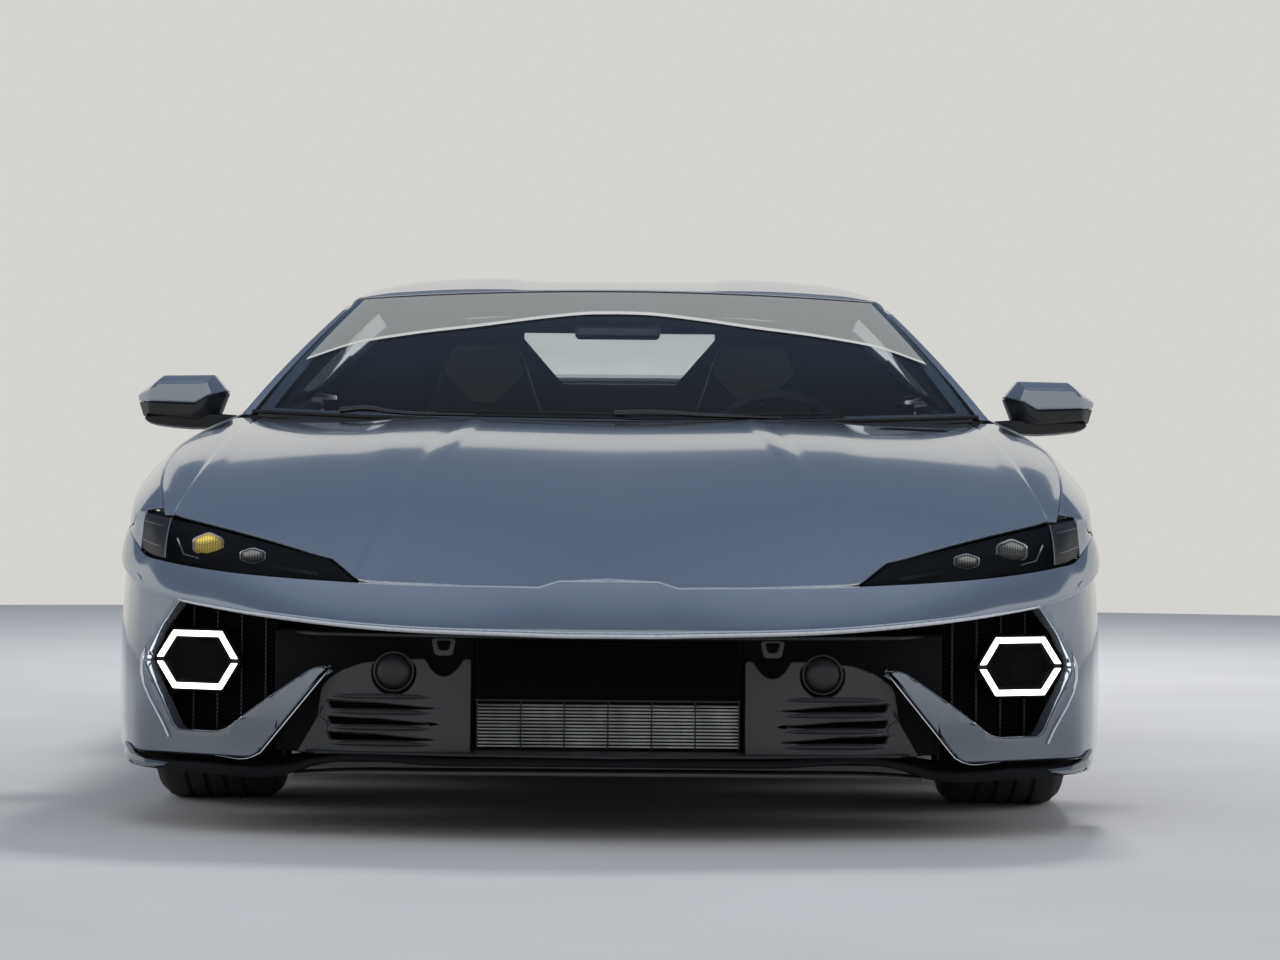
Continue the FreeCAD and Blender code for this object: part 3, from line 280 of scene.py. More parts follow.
def finish_sheet(name, bm, outside):
    bm.normal_update()
    total = sum((f.normal * f.calc_area() for f in bm.faces), V())
    if total.dot(V(outside)) < 0:
        bmesh.ops.reverse_faces(bm, faces=bm.faces)
    return finish_mesh(name, bm)


def add_object(name, data):
    obj = bpy.data.objects.new(name, data)
    bpy.context.scene.collection.objects.link(obj)
    return obj


def finish_mesh(name, bm):
    me = bpy.data.meshes.new(name)
    bm.to_mesh(me)
    bm.free()
    me.shade_smooth()
    return add_object(name, me)


def modify(obj, name, kind, **values):
    m = obj.modifiers.new(name, kind)
    for k, v in values.items():
        setattr(m, k, v)


def thicken(obj, depth=SKIN, bevel=0.0012, angle=50):
    """Gives a sheet its thickness inwards, and rounds its edges."""
    modify(obj, "thickness", "SOLIDIFY", thickness=depth, offset=-1, use_even_offset=True,
        thickness_clamp=0)
    return round_edges(obj, bevel, angle)


def panel(obj, size, mat, body="root", *nodes):
    """Thickens a sheet by size = (depth, rounding, angle), and dresses it."""
    thicken(obj, *size)
    return dress(obj, mat, body, *nodes)


def round_edges(obj, width, angle=40, segments=2):
    modify(obj, "edges", "BEVEL", width=width, segments=segments, limit_method="ANGLE",
        angle_limit=radians(angle), use_clamp_overlap=False, harden_normals=False)
    modify(obj, "normals", "WEIGHTED_NORMAL", keep_sharp=True)
    return obj


def both(name, grid, outside, body="root", *nodes):
    """The painted left piece and its mirror image, each riding on its body and standing for its
    node. body and nodes hold {side} where the side's name goes."""
    for side, tag in SIDES:
        obj = thicken(sheet_mesh(f"{name}_{tag}", mirrored(grid, side), sided(outside, side)))
        dress(obj, PAINT, body.format(side=tag), *[n.format(side=tag) for n in nodes])


def dress(obj, mat, body="root", *nodes):
    """Gives a piece its material and its body, and hides the CAD nodes that it stands for."""
    obj.data.materials.clear()
    obj.data.materials.append(mat)
    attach(obj, body)
    if nodes:
        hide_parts(*nodes)
    return obj


def spline(points, n, corners=()):
    """A smooth curve through the points, n steps a span. At the numbered corners it may turn sharply."""
    pts = [V(p) for p in points]
    last = len(pts) - 1

    def tangent(k, side):
        if k in corners or k in (0, last):
            a, b = (pts[k], pts[min(k + 1, last)]) if side > 0 else (pts[max(k - 1, 0)], pts[k])
            return (b - a) / max((b - a).length, 1e-9)
        d0, d1 = (pts[k] - pts[k - 1]), (pts[k + 1] - pts[k])
        l0, l1 = max(d0.length, 1e-9), max(d1.length, 1e-9)
        return (d0 / l0 * l1 + d1 / l1 * l0) / (l0 + l1)
    out = []
    for k in range(last):
        a, b = pts[k], pts[k + 1]
        h = (b - a).length
        m0, m1 = tangent(k, 1) * h, tangent(k + 1, -1) * h
        for i in range(n):
            t = i / n
            out.append(cubic(a, b, m0, m1, t))
    out.append(pts[last])
    return out


def mirror_path(points):
    """The points of a left half, from the middle outwards, as one path from right to left."""
    return [V((-p[0], p[1], p[2])) for p in points[:0:-1]] + [V(p) for p in points]


def rounded(outline, radius, n=4):
    """A closed flat outline of (u, v) points with its corners rounded. radius is one number, or
    one for each corner."""
    out = []
    count = len(outline)
    radii = radius if isinstance(radius, (list, tuple)) else [radius] * count
    for k in range(count):
        p = V((*outline[k], 0))
        a, b = V((*outline[k - 1], 0)) - p, V((*outline[(k + 1) % count], 0)) - p
        d = min(radii[k], a.length * 0.45, b.length * 0.45)
        if d < 1e-5:
            out.append((p.x, p.y))
            continue
        q0, q1 = p + a.normalized() * d, p + b.normalized() * d
        for i in range(n + 1):
            t = i / n
            q = bezier(q0, p, q1, t)
            out.append((q.x, q.y))
    return out


def sliced_sheet(name, outline, place, step, outside, holes=()):
    """A sheet with a free outline in (u, v), cut into strips in both directions and then laid on
    a curved surface by place(u, v)."""
    bm = bmesh.new()
    loops = []
    for ring in (outline, *holes):
        verts = [bm.verts.new((u, 0, v)) for u, v in ring]
        loops += [bm.edges.new((a, b)) for a, b in zip(verts, verts[1:] + verts[:1])]
    if holes:
        bmesh.ops.triangle_fill(bm, use_beauty=True, use_dissolve=True, edges=loops)
    else:
        bmesh.ops.contextual_create(bm, geom=loops)
    us, vs = [p[0] for p in outline], [p[1] for p in outline]
    for way, low, high in ((X, min(us), max(us)), (Z, min(vs), max(vs))):
        for t in steps(low, high, max(1, round((high - low) / step)))[1:-1]:
            geom = bm.verts[:] + bm.edges[:] + bm.faces[:]
            bmesh.ops.bisect_plane(bm, geom=geom, dist=1e-6, plane_co=way * t, plane_no=way)
    for v in bm.verts:
        v.co = place(v.co.x, v.co.z)
    bmesh.ops.remove_doubles(bm, verts=bm.verts, dist=0.00002)
    return finish_sheet(name, bm, outside)


def tube(name, points, radius, mat, body="root", closed=False, res=3):
    """A round bar along a smooth path of points. radius is one number or one a point."""
    cu = bpy.data.curves.new(name, "CURVE")
    cu.dimensions = "3D"
    cu.bevel_depth = 1.0
    cu.bevel_resolution = res
    cu.use_fill_caps = True
    sp = cu.splines.new("POLY")
    sp.points.add(len(points) - 1)
    for k, p in enumerate(points):
        sp.points[k].co = (*p, 1)
        sp.points[k].radius = radius[k] if isinstance(radius, (list, tuple)) else radius
    sp.use_cyclic_u = closed
    return dress(add_object(name, cu), mat, body)


def block(name, lo, hi, mat, body="root", bevel=0.003, turn=None):
    """A rounded box between two corners, turned about its middle by turn = (axis, degrees)."""
    bm = bmesh.new()
    bmesh.ops.create_cube(bm, size=1)
    lo, hi = V(lo), V(hi)
    size = V([abs(c) for c in hi - lo])
    for v in bm.verts:
        v.co = V((v.co.x * size.x, v.co.y * size.y, v.co.z * size.z))
    if turn:
        bmesh.ops.rotate(bm, verts=bm.verts, matrix=Matrix.Rotation(radians(turn[1]), 3, turn[0]))
    bmesh.ops.translate(bm, verts=bm.verts, vec=(lo + hi) / 2)
    obj = finish_mesh(name, bm)
    round_edges(obj, bevel, 30, 3)
    return dress(obj, mat, body)


def join(name, objs, body="root"):
    """Joins pieces of one material and one body into one."""
    base = objs[0]
    dg = bpy.context.evaluated_depsgraph_get()
    bm = bmesh.new()
    for o in objs:
        me = bpy.data.meshes.new_from_object(o.evaluated_get(dg))
        me.transform(o.matrix_world)
        bm.from_mesh(me)
    mat = base.data.materials[0]
    for o in objs:
        bpy.data.objects.remove(o)
    return dress(finish_mesh(name, bm), mat, body)


def turned(name, profile, mat, place, body, segments=96):
    """A ring from a closed (u, r) profile, u along the axle, about place."""
    bm, verts = bridged([[V((u, r * cos(a), r * sin(a))) + V(place) for u, r in profile]
        for a in circle(segments)])
    bridge(bm, (verts[-1], verts[0]))
    bmesh.ops.remove_doubles(bm, verts=bm.verts, dist=1e-6)
    bmesh.ops.recalc_face_normals(bm, faces=bm.faces)
    obj = finish_mesh(name, bm)
    round_edges(obj, 0.001, 35, 2)
    return dress(obj, mat, body)


def lofted(name, rings, mat, body="root", bevel=0, caps=True):
    """A closed solid through rings of equal count."""
    bm, verts = bridged(rings)
    if caps:
        bm.faces.new(verts[0][::-1])
        bm.faces.new(verts[-1])
    bmesh.ops.recalc_face_normals(bm, faces=bm.faces)
    obj = finish_mesh(name, bm)
    if bevel:
        round_edges(obj, bevel, 35, 3)
    return dress(obj, mat, body)


# ---- materials ----
def material(name, color, rough=0.5, metal=0.0, coat=0.0, **sockets):
    """A Principled material. Returns it with its shader."""
    m = bpy.data.materials.new(name)
    m.use_nodes = True
    p = m.node_tree.nodes["Principled BSDF"]
    p.inputs["Base Color"].default_value = (*color, 1)
    p.inputs["Roughness"].default_value = rough
    p.inputs["Metallic"].default_value = metal
    p.inputs["Coat Weight"].default_value = coat
    p.inputs["Coat Roughness"].default_value = 0.03
    for k, v in sockets.items():
        p.inputs[k.replace("_", " ")].default_value = v
    m.diffuse_color = (*color, 1)
    return m, p


def node(m, kind, **values):
    n = m.node_tree.nodes.new(kind)
    for k, v in values.items():
        if k in n.inputs:
            n.inputs[k].default_value = v
        else:
            setattr(n, k, v)
    return n


def link(m, a, b):
    m.node_tree.links.new(a, b)


def coords(m, scale):
    c = node(m, "ShaderNodeTexCoord")
    s = node(m, "ShaderNodeMapping")
    s.inputs["Scale"].default_value = scale
    link(m, c.outputs["Object"], s.inputs["Vector"])
    return s.outputs["Vector"]


def texture(m, kind, output, stretch=(1, 1, 1), **values):
    """One output of a texture that is laid over the piece's own coordinates."""
    n = node(m, kind, **values)
    link(m, coords(m, stretch), n.inputs["Vector"])
    return n.outputs[output]


def noise(m, scale, detail=2.0, stretch=(1, 1, 1)):
    return texture(m, "ShaderNodeTexNoise", "Fac", stretch, Scale=scale, Detail=detail)


def darker(color, share):
    return tuple(c * share for c in color)


def ramp(m, value, stops):
    """A colour ramp of (place, colour) stops over a value."""
    r = node(m, "ShaderNodeValToRGB")
    elements = r.color_ramp.elements
    while len(elements) < len(stops):
        elements.new(0.5)
    for element, (place, color) in zip(elements, stops):
        element.position = place
        element.color = (*color, 1)
    link(m, value, r.inputs["Fac"])
    return r.outputs["Color"]


def tint(m, p, value, *stops):
    """Colours a material by a ramp over a value."""
    link(m, ramp(m, value, stops), p.inputs["Base Color"])


def bump(m, p, value, strength, distance):
    b = node(m, "ShaderNodeBump", Strength=strength, Distance=distance)
    link(m, value, b.inputs["Height"])
    link(m, b.outputs["Normal"], p.inputs["Normal"])


def grey(v):
    return (v, v, v)


def make_paint():
    """Metallic silver-blue under a clear coat, with fine flake."""
    m, p = material("paint", (0.27, 0.315, 0.375), rough=0.33, metal=0.78, coat=1.0)
    flake = noise(m, 1800, 1.0)
    color = ramp(m, flake, [(0.3, (0.25, 0.29, 0.345)), (0.7, (0.36, 0.41, 0.475))])
    # painted shade: the colour darkens to half towards the bottom of the body, standing in for darker
    # reflections low down
    parts = node(m, "ShaderNodeSeparateXYZ")
    link(m, node(m, "ShaderNodeTexCoord").outputs["Object"], parts.inputs[0])
    painted_low_shade = ramp(m, parts.outputs["Z"], [(0.2, grey(0.5)), (0.42, grey(1.0))])
    shaded_colour = node(m, "ShaderNodeMixRGB", Fac=1.0, blend_type="MULTIPLY")
    link(m, color, shaded_colour.inputs["Color1"])
    link(m, painted_low_shade, shaded_colour.inputs["Color2"])
    link(m, shaded_colour.outputs["Color"], p.inputs["Base Color"])
    link(m, ramp(m, flake, [(0.25, grey(0.1)), (0.75, grey(0.17))]), p.inputs["Roughness"])
    return m


def make_black(name, color, rough, coat=0.0, grain=900, depth=0.0002, shine=0.5):
    """Moulded black plastic with a fine grain."""
    m, p = material(name, color, rough=rough, coat=coat, Specular_IOR_Level=shine)
    g = noise(m, grain, 3.0)
    tint(m, p, g, (0.3, darker(color, 0.75)), (0.7, tuple(min(c * 1.3 + 0.002, 1) for c in color)))
    if depth:
        bump(m, p, g, 0.35, depth)
    return m


def make_carbon():
    """Dark satin carbon with a twill weave."""
    m, p = material("carbon", (0.02, 0.022, 0.025), rough=0.32, coat=0.6)
    w = texture(m, "ShaderNodeTexWave", "Fac", Scale=160.0, Distortion=0.0, bands_direction="DIAGONAL")
    tint(m, p, w, (0.3, grey(0.012)), (0.7, (0.035, 0.037, 0.04)))
    bump(m, p, w, 0.15, 0.0003)
    return m


def make_pane(name, color, bend=1.5):
    """Thin tinted glass that mirrors its surroundings and lets the cabin show through."""
    m, p = material(name, color, rough=0.0, IOR=bend, Transmission_Weight=1.0)
    tint(m, p, noise(m, 6, 1.0), (0.3, darker(color, 0.94)), (0.7, color))
    return m


def make_painted_reflection(name, tone, cover):
    """Painted reflection: a pale dotted sheet along a windscreen's head, standing in for the sky mirrored
    in the glass.
    """
    low, high = [(v, v * 0.99, v * 0.91) for v in (tone, tone * 1.18)]
    m, p = material(name, low, rough=0.6, Alpha=cover)
    tint(m, p, texture(m, "ShaderNodeTexVoronoi", "Distance", Scale=500.0), (0.1, high), (0.8, low))
    return m


def make_leather(name, color):
    m, p = material(name, color, rough=0.55)
    cells = texture(m, "ShaderNodeTexVoronoi", "Distance", Scale=420.0)
    tint(m, p, cells, (0.1, darker(color, 0.8)), (0.8, color))
    bump(m, p, cells, 0.3, 0.0006)
    return m


def make_metal(name, color, rough, brush=(1, 1, 60)):
    m, p = material(name, color, rough=rough, metal=1.0)
    n = noise(m, 120, 3.0, brush)
    tint(m, p, n, (0.3, darker(color, 0.82)), (0.7, color))
    link(m, ramp(m, n, [(0.2, grey(rough * 0.8)), (0.8, grey(min(1, rough * 1.3)))]), p.inputs["Roughness"])
    return m


def make_fins():
    """Bare cooler fins: pale satin metal that darkens in patches."""
    m, p = material("fin_metal", (0.45, 0.46, 0.46), rough=0.5, metal=0.35)
    tint(m, p, noise(m, 14, 2.0, (1, 1, 0.4)), (0.3, (0.4, 0.41, 0.41)), (0.7, (0.78, 0.79, 0.78)))
    return m


def make_glow(name, color, strength):
    return material(name, color, rough=0.3, Emission_Color=(*color, 1), Emission_Strength=strength)[0]


def make_lens():
    """Clear dark plastic over a lamp, that what lies behind shows through."""
    m, p = material("lens", (0.004, 0.005, 0.006), rough=0.02, IOR=1.2, Alpha=0.3)
    tint(m, p, noise(m, 30, 1.0), (0.3, (0.003, 0.004, 0.005)), (0.7, (0.006, 0.007, 0.008)))
    return m


def make_lamp_glass(name, color, glow):
    """Ribbed lamp glass."""
    m, p = material(name, color, rough=0.12, coat=1.0)
    w = texture(m, "ShaderNodeTexWave", "Fac", Scale=60.0, Distortion=1.5)
    tone = ramp(m, w, [(0.2, color), (0.8, tuple(min(c * 1.6 + 0.05, 1) for c in color))])
    link(m, tone, p.inputs["Base Color"])
    if glow:
        link(m, tone, p.inputs["Emission Color"])
        p.inputs["Emission Strength"].default_value = glow
    bump(m, p, w, 0.3, 0.001)
    return m


def make_rubber():
    m, p = material("rubber", (0.018, 0.018, 0.019), rough=0.75)
    n = noise(m, 300, 4.0)
    tint(m, p, n, (0.3, grey(0.012)), (0.7, grey(0.024)))
    bump(m, p, n, 0.3, 0.0006)
    return m


PAINT = make_paint()
GLOSS_BLACK = make_black("gloss_black", (0.008, 0.009, 0.01), 0.12, 1.0, 700, 0)
MATT_BLACK = make_black("matt_black", (0.005, 0.005, 0.006), 0.7, shine=0.15)
SATIN_BLACK = make_black("satin_black", (0.011, 0.012, 0.013), 0.42)
DUCT_GREY = make_black("duct_grey", (0.032, 0.034, 0.036), 0.5)
CARBON = make_carbon()
GLASS = make_pane("screen_glass", (0.86, 0.93, 0.97), 1.16)
SIDE_GLASS = make_pane("side_glass", (0.28, 0.31, 0.33))
# painted reflection on the windscreen's head: the pale band, and the brighter line along its foot
REFLECTION_BAND = make_painted_reflection("painted_reflection_band", 0.47, 0.62)
REFLECTION_BAND_LINE = make_painted_reflection("painted_reflection_line", 0.74, 0.9)
# painted glint: pale polished strips laid along edges and shut lines, standing in for the bright glints the
# light makes there
GLINT_STRIP = make_metal("painted_glint", (0.86, 0.88, 0.9), 0.14, (1, 1, 1))
REAR_GLASS = make_pane("rear_glass", (0.97, 0.98, 0.97), 1.3)
TRIM = make_leather("trim", (0.02, 0.02, 0.021))
OLIVE = make_leather("olive", (0.2, 0.215, 0.11))
ALLOY = make_metal("alloy", (0.1, 0.105, 0.11), 0.35)
STEEL = make_metal("steel", (0.42, 0.42, 0.43), 0.3)
DARK_METAL = make_metal("dark_metal", (0.08, 0.08, 0.085), 0.45)
FIN_METAL = make_fins()
CALIPER = make_black("caliper", (0.05, 0.052, 0.055), 0.35, 0.5)
RUBBER = make_rubber()
WHITE_GLOW = make_glow("white_glow", (1.0, 1.0, 0.96), 3.0)
SEAT_BLACK = make_leather("seat_black", (0.016, 0.016, 0.018))
WEBBING = make_black("webbing", (0.02, 0.02, 0.022), 0.7, 0.0, 1500)
CARPET = make_black("carpet", (0.015, 0.015, 0.016), 0.95, 0.0, 2500, 0.001)
SCREEN_OFF = make_black("dark_display", (0.004, 0.005, 0.007), 0.08, 1.0, 900, 0)
RED_LENS = make_lamp_glass("red_lens", (0.1, 0.003, 0.003), 0.0)
RED_GLOW = make_glow("red_glow", (0.55, 0.01, 0.008), 0.6)
CHROME = make_metal("chrome", (0.75, 0.75, 0.76), 0.08, (1, 1, 1))
LENS = make_lens()
AMBER = make_lamp_glass("amber", (0.55, 0.42, 0.06), 0.35)
CLEAR_LAMP = make_lamp_glass("clear_lamp", (0.2, 0.2, 0.18), 0.0)


# ---- body side: wings and doors ----
SIDE_SOFT = (0.012, 0.035, 0.05)
SIDE_CROWN = (0.015, 0.012, 0.006, 0.006)
SIDE_SPANS = (5, 7, 8, 5)


def flare(p, w):
    """Pushes a point near the wheel arch's edge outwards, for its rolled lip."""
    d = hypot(p.y - w["y"], p.z - w["r"]) - w["arch"]
    if p.z > w["r"] - 0.12 and d < 0.045:
        t = 1 - max(d, 0) / 0.045
        p = p + X * (0.006 * t * t)
    return p


def arch_height(w, y):
    """Height of the arch's edge at station y, or None outside the arch."""
    d = abs(y - w["y"])
    return w["r"] + sqrt(w["arch"] ** 2 - d * d) if d <= w["arch"] else None


def wing_low(y):
    """Lower edge of the front wing."""
    top = arch_height(FRONT, y)
    if top is not None:
        return top
    if y > F:
        return 0.0
    line = [(F - 0.64, 0.63), (F - 0.592, 0.628), (F - 0.56, 0.592), (F - 0.391, 0.601)]
    return linear(line, min(max(y, line[0][0]), line[-1][0]))


def side_section(y):
    return section(side_line(y), SIDE_SOFT, SIDE_CROWN, SIDE_SPANS)


SIDE_STEP = 0.02


BAND_SIDE = rows(NOSE, [(396, 74, 534), (500, 30, 579), (640, 14, 592)])


def build_wings():
    grid = [[flare(p, FRONT) for p in clipped(side_section(y), wing_low(y))]
        for y in sweep_steps(F - 0.628, DOOR_FRONT - 0.002, SIDE_STEP, FRONT)]
    both("wing_skin", grid, (1, 0, 0.2), "root", "front_wing_{side}")


def build_wing_corners():
    """Painted filler between the lamp's outer end, the nose band and the wing."""
    grid = []
    for t in steps(0, 1, 10):
        y = NOSE + 0.423 + 0.104 * t
        inside, z = at(BAND_SIDE, y)
        low = V((HALF - inside, y, z - 0.002))
        y = NOSE + 0.4655 + 0.0615 * t
        line = clipped(side_section(y), wing_low(y))
        high = flare(line[-1], FRONT) - Z * 0.002
        if t < 0.3:
            high = high.lerp(V((HALF - 0.0645, NOSE + 0.4655, 0.6205)), 1 - t / 0.3)
        grid.append([low.lerp(high, k / 6) for k in range(7)])
    both("wing_corner", grid, (1, 0, 0.2))


def build_doors():
    grid = [clipped(side_section(y), 0) for y in sweep_steps(DOOR_FRONT + GAP, DOOR_REAR - GAP, SIDE_STEP)]
    both("door_skin", grid, (1, 0, 0.2), "door_{side}", "door_{side}")


# ---- rear quarters ----
QUARTER_SOFT = (0.02, 0.02, 0.05, 0.03, 0.02, 0.05, 0.06)
QUARTER_CROWN = (0.0, 0.01, 0.008, 0.0, 0.02, 0.012, 0.01, 0.008)
QUARTER_SPANS = (4, 4, 7, 4, 6, 7, 8, 5)


def quarter_section(y):
    return section(quarter_line(y), QUARTER_SOFT, QUARTER_CROWN, QUARTER_SPANS)


SPLIT_COLUMN = 19  # on the buttress's outer flank, where the two skins meet


def build_quarters():
    grid = []
    for y in sweep_steps(QUARTER[0][0], QUARTER[-1][0], 0.022, REAR):
        row = [flare(p, REAR) for p in clipped(quarter_section(y), arch_height(REAR, y) or 0)]
        near = (y - TAIL + 0.16) / (QUARTER[-1][0] - TAIL + 0.16)
        if near > 0:
            ends = [tail_point(min(p.x, 0.902), p.z).y - 0.006 for p in row]
            row = [V((p.x, TAIL - 0.16 + (end - TAIL + 0.16) * near, p.z)) for p, end in zip(row, ends)]
        grid.append(row)
    # the part beside the rear window starts behind the cabin
    behind = R - 0.729
    upper = [row[:SPLIT_COLUMN + 2] for row in grid if row[0].y >= behind - 1e-6]
    lower = [row[SPLIT_COLUMN + 1:] for row in grid]
    both("buttress_skin", upper, (0.3, 0, 1))
    both("quarter_skin", lower, (1, 0, 0.4), "root", "rear_quarter_{side}")


# ---- bonnet ----
# feature lines from rear to front: inside the half width, then behind nose and height at
# front, middle and rear
BONNET = [
    (998, 70, 499, 653, 683, 1290, 822),
    (668, 98, 490, 653, 690, 1310, 828),
    (509, 132, 494, 653, 691, 1345, 825),
    (424, 222, 531, 693, 696, 1380, 822),
    (186, 370, 594, 900, 738, 1450, 822),
    (60, 428, 616, 953, 742, 1500, 838),
]


def arc_height(row, y):
    """Height of the bonnet's lengthwise arc through the row's three points, at y."""
    (y0, z0), (y1, z1), (y2, z2) = [(NOSE + row[i] * MM, row[i + 1] * MM) for i in (1, 3, 5)]
    return (z0 * (y - y1) * (y - y2) / ((y0 - y1) * (y0 - y2))
        + z1 * (y - y0) * (y - y2) / ((y1 - y0) * (y1 - y2))
        + z2 * (y - y0) * (y - y1) / ((y2 - y0) * (y2 - y1)))


def bonnet_z(x, y):
    return linear([(HALF - row[0] * MM, arc_height(row, y)) for row in BONNET], abs(x))


def crest(y):
    return side_line(y)[0]


# plan of the bonnet's columns, from its rear edge to its front edge: rear x, behind nose,
# then front x, behind nose
BONNET_COLUMNS = [
    (0, 1284, 0, 76),
    (70, 1285, 96, 78),
    (110, 1287, 136, 49),
    (300, 1301, 480, 130),
    (470, 1350, 538, 226),
    (800, 1488, 872, 428),
]


def bonnet_plan(k, t):
    x0, y0, x1, y1 = [v * MM for v in BONNET_COLUMNS[k]]
    return V((x0 + (x1 - x0) * t, NOSE + y0 + (y1 - y0) * t, 0))


VENT_Y = NOSE + 1.275
BONNET_SPANS = (6, 2, 14, 6, 16, 12)  # faces between the columns, and out to the crest
BONNET_CREASES = ((3, 0.003), (5, 0.0022))  # spans before a crease, and how far it stands up


def build_bonnet():
    half = []
    n = 64
    for i in range(n + 1):
        t = i / n
        y_edge = (F + 0.44 - 0.002) * (1 - t) + (F - 0.632) * t
        pts = [bonnet_plan(k, t) for k in range(len(BONNET_COLUMNS))] + [V((crest(y_edge).x - 0.004,
            y_edge, 0))]
        out = [a.lerp(b, j / span) for a, b, span in zip(pts, pts[1:], BONNET_SPANS) for j in range(span)]
        row = [V((p.x, p.y, bonnet_z(p.x, p.y))) for p in out + pts[-1:]]
        step, last = crest(y_edge).z - 0.0015 - row[-1].z, BONNET_SPANS[-1]
        for j in range(1, last + 1):
            row[-1 - last + j].z += step * (j / last) ** 2
        for spans, rise in BONNET_CREASES:
            row[sum(BONNET_SPANS[:spans])].z += rise
        half.append(row)
    grid = [mirror_path(row) for row in half]
    panel(sheet_mesh("bonnet_skin", grid, (0, 0, 1)), (), PAINT, "bonnet", "bonnet")
    # painted glint: a pale strip along the bonnet's front edge
    front = [p for p in grid[-1] if abs(p.x) < 0.485]
    strip = [beside(p, Y, ((-0.0019, -0.0042), (-0.0014, 0.0005), (0.0008, 0.0007), (0.0008, -0.0042)))
        for p in front]
    lofted("bonnet_front_glint", strip, GLINT_STRIP, "bonnet")
    under = [[p - Z * 0.009 for p in row[4:-4:2]] for row in grid[3:-3:3]]
    panel(sheet_mesh("bonnet_liner", under, (0, 0, 1)), (0.002,), MATT_BLACK, "bonnet")
    slot = rounded([(0.585, -0.02), (0.745, -0.01), (0.73, 0.022), (0.605, 0.014)], 0.008)
    for name, grow, lift, mat in (("bonnet_vent_rim", 1.1, 0.0006, GLINT_STRIP),
            ("bonnet_vent_slot", 1.0, 0.0012, MATT_BLACK)):
        outline = [(0.665 + (x - 0.665) * grow, y * (2 * grow - 1)) for x, y in slot]
        vent = sliced_sheet(name, outline,
            lambda x, y: V((x, VENT_Y + y, bonnet_z(x, VENT_Y + y) + lift)), 0.02, (0, 0, 1))
        dress(vent, mat, "bonnet")


# ---- nose band ----
def nose(rows3):
    """Points of a left half given as inside the half width, behind the nose and height, in mm."""
    return [V((HALF - i * MM, NOSE + b * MM, z * MM)) for i, b, z in rows3]


# lip and upper edge of the painted band that wraps the nose
BAND_LIP = nose([(998, 0, 391), (902, 2, 391), (862, 5, 392), (525, 67, 403), (249, 168, 434),
    (122, 265, 457), (58, 363, 480), (13, 503, 512), (3, 640, 528), (3, 735, 530)])
BAND_TOP = nose([(998, 55, 497), (904, 55, 497), (866, 47, 485), (519, 128, 489), (256, 199, 506),
    (120, 318, 524), (74, 396, 534), (30, 500, 579), (14, 640, 592), (12, 735, 597)])
LIP_GLINT_STRIP = 0.003  # how far the painted glint strip along the lip stands out
BAND_SHARP = (1, 2)  # where the upper edge turns round the bonnet's middle tab


def curve_of(half, n, sharp=()):
    """A smooth curve from the right end through the middle to the left end."""
    k = len(half) - 1
    corners = {k + c for c in sharp} | {k - c for c in sharp}
    return spline(mirror_path(half), n, corners)


def outward(path, k):
    """Level outward direction of a path that runs from the right round the nose to the left."""
    t = path[min(k + 1, len(path) - 1)] - path[max(k - 1, 0)]
    return V((t.y, -t.x, 0)).normalized()


def beside(p, out, pairs):
    """Points beside p, at (outwards, up) distances."""
    return [p + out * a + Z * b for a, b in pairs]


def bulged(a, b, n, out, amount):
    """n steps from a to b, bulging by amount in direction out."""
    return [a.lerp(b, i / n) + out * (amount * 4 * (i / n) * (1 - i / n)) for i in range(n)]


def build_band():
    n = 9
    lip = curve_of(BAND_LIP, n)
    lip = [p - outward(lip, k) * LIP_GLINT_STRIP for k, p in enumerate(lip)]      # room for the painted glint strip
    top = curve_of(BAND_TOP, n, BAND_SHARP)
    grid = []
    for k, (low, high) in enumerate(zip(lip, top)):
        out = outward(lip, k)
        arch = arch_height(FRONT, low.y)
        if arch is not None and low.y > F - FRONT["arch"]:
            low = V((low.x, low.y, max(low.z, arch)))
        tall = min((high - low).length / 0.12, 1)
        crease = high.lerp(low, 0.84) + out * 0.009 * tall
        ledge = 0.028 if abs(high.x) < 0.14 else 0.012
        row = [high - out * ledge - Z * 0.01, high - out * 0.002 - Z * 0.0012]
        row += bulged(high, crease, 9, (out + Z * 0.4).normalized(), 0.005 * tall)
        row += bulged(crease, low, 3, out, 0.001)
        row += [low, low - out * 0.01 - Z * 0.001, low - out * 0.03]
        grid.append(row)
    panel(sheet_mesh("nose_band", grid, (0, -1, 0.3)), (0.004,), PAINT, "root", "front_bumper")
    # painted glint strips: one along the band's upper edge by the bonnet, one along the lip
    line = []
    for k, p in enumerate(top):
        if abs(p.x) < 0.482:
            line.append(beside(p, outward(top, k), ((0.0012, -0.0026), (0.001, 0.0012), (-0.003, 0.0012),
                (-0.003, -0.0026))))
    lofted("nose_band_glint", line, GLINT_STRIP)
    strip = []
    for k, p in enumerate(lip):
        if abs(p.x) < 0.84:
            out, w = outward(lip, k), min(1, (0.86 - abs(p.x)) / 0.25)
            up = V((0, 0, 0.005 + 0.007 * w))
            strip.append([p + out * LIP_GLINT_STRIP, p + out * 0.0022 + up, p - out * 0.001 + up,
                p - out * 0.001])
    lofted("nose_lip_glint", strip, GLINT_STRIP)


# ---- cheeks ----
CHEEK_PATH = [(508, 138), (466, 146), (318, 170), (195, 245), (122, 300), (80, 330), (48, 393), (26, 473),
    (10, 563), (5, 640), (4, 730)]
# front view of the cheek: x and height, from the inner wing's tip round the corner opening
CHEEK_FACE = [(532, 319), (548, 330), (572, 324), (748, 198), (848, 198), (914, 330), (878, 402),
    (842, 452)]
CHEEK_SOFT = [12, 8, 30, 26, 14, 8, 10, 8]
BLADE_GLINT = [(858, 181), (918, 330), (912, 352)]  # painted glint along the edge beside the opening


def cheek_curve():
    pts = [V((HALF - i * MM, NOSE + b * MM - 0.008, 0)) for i, b in CHEEK_PATH]
    return spline(pts, 12)


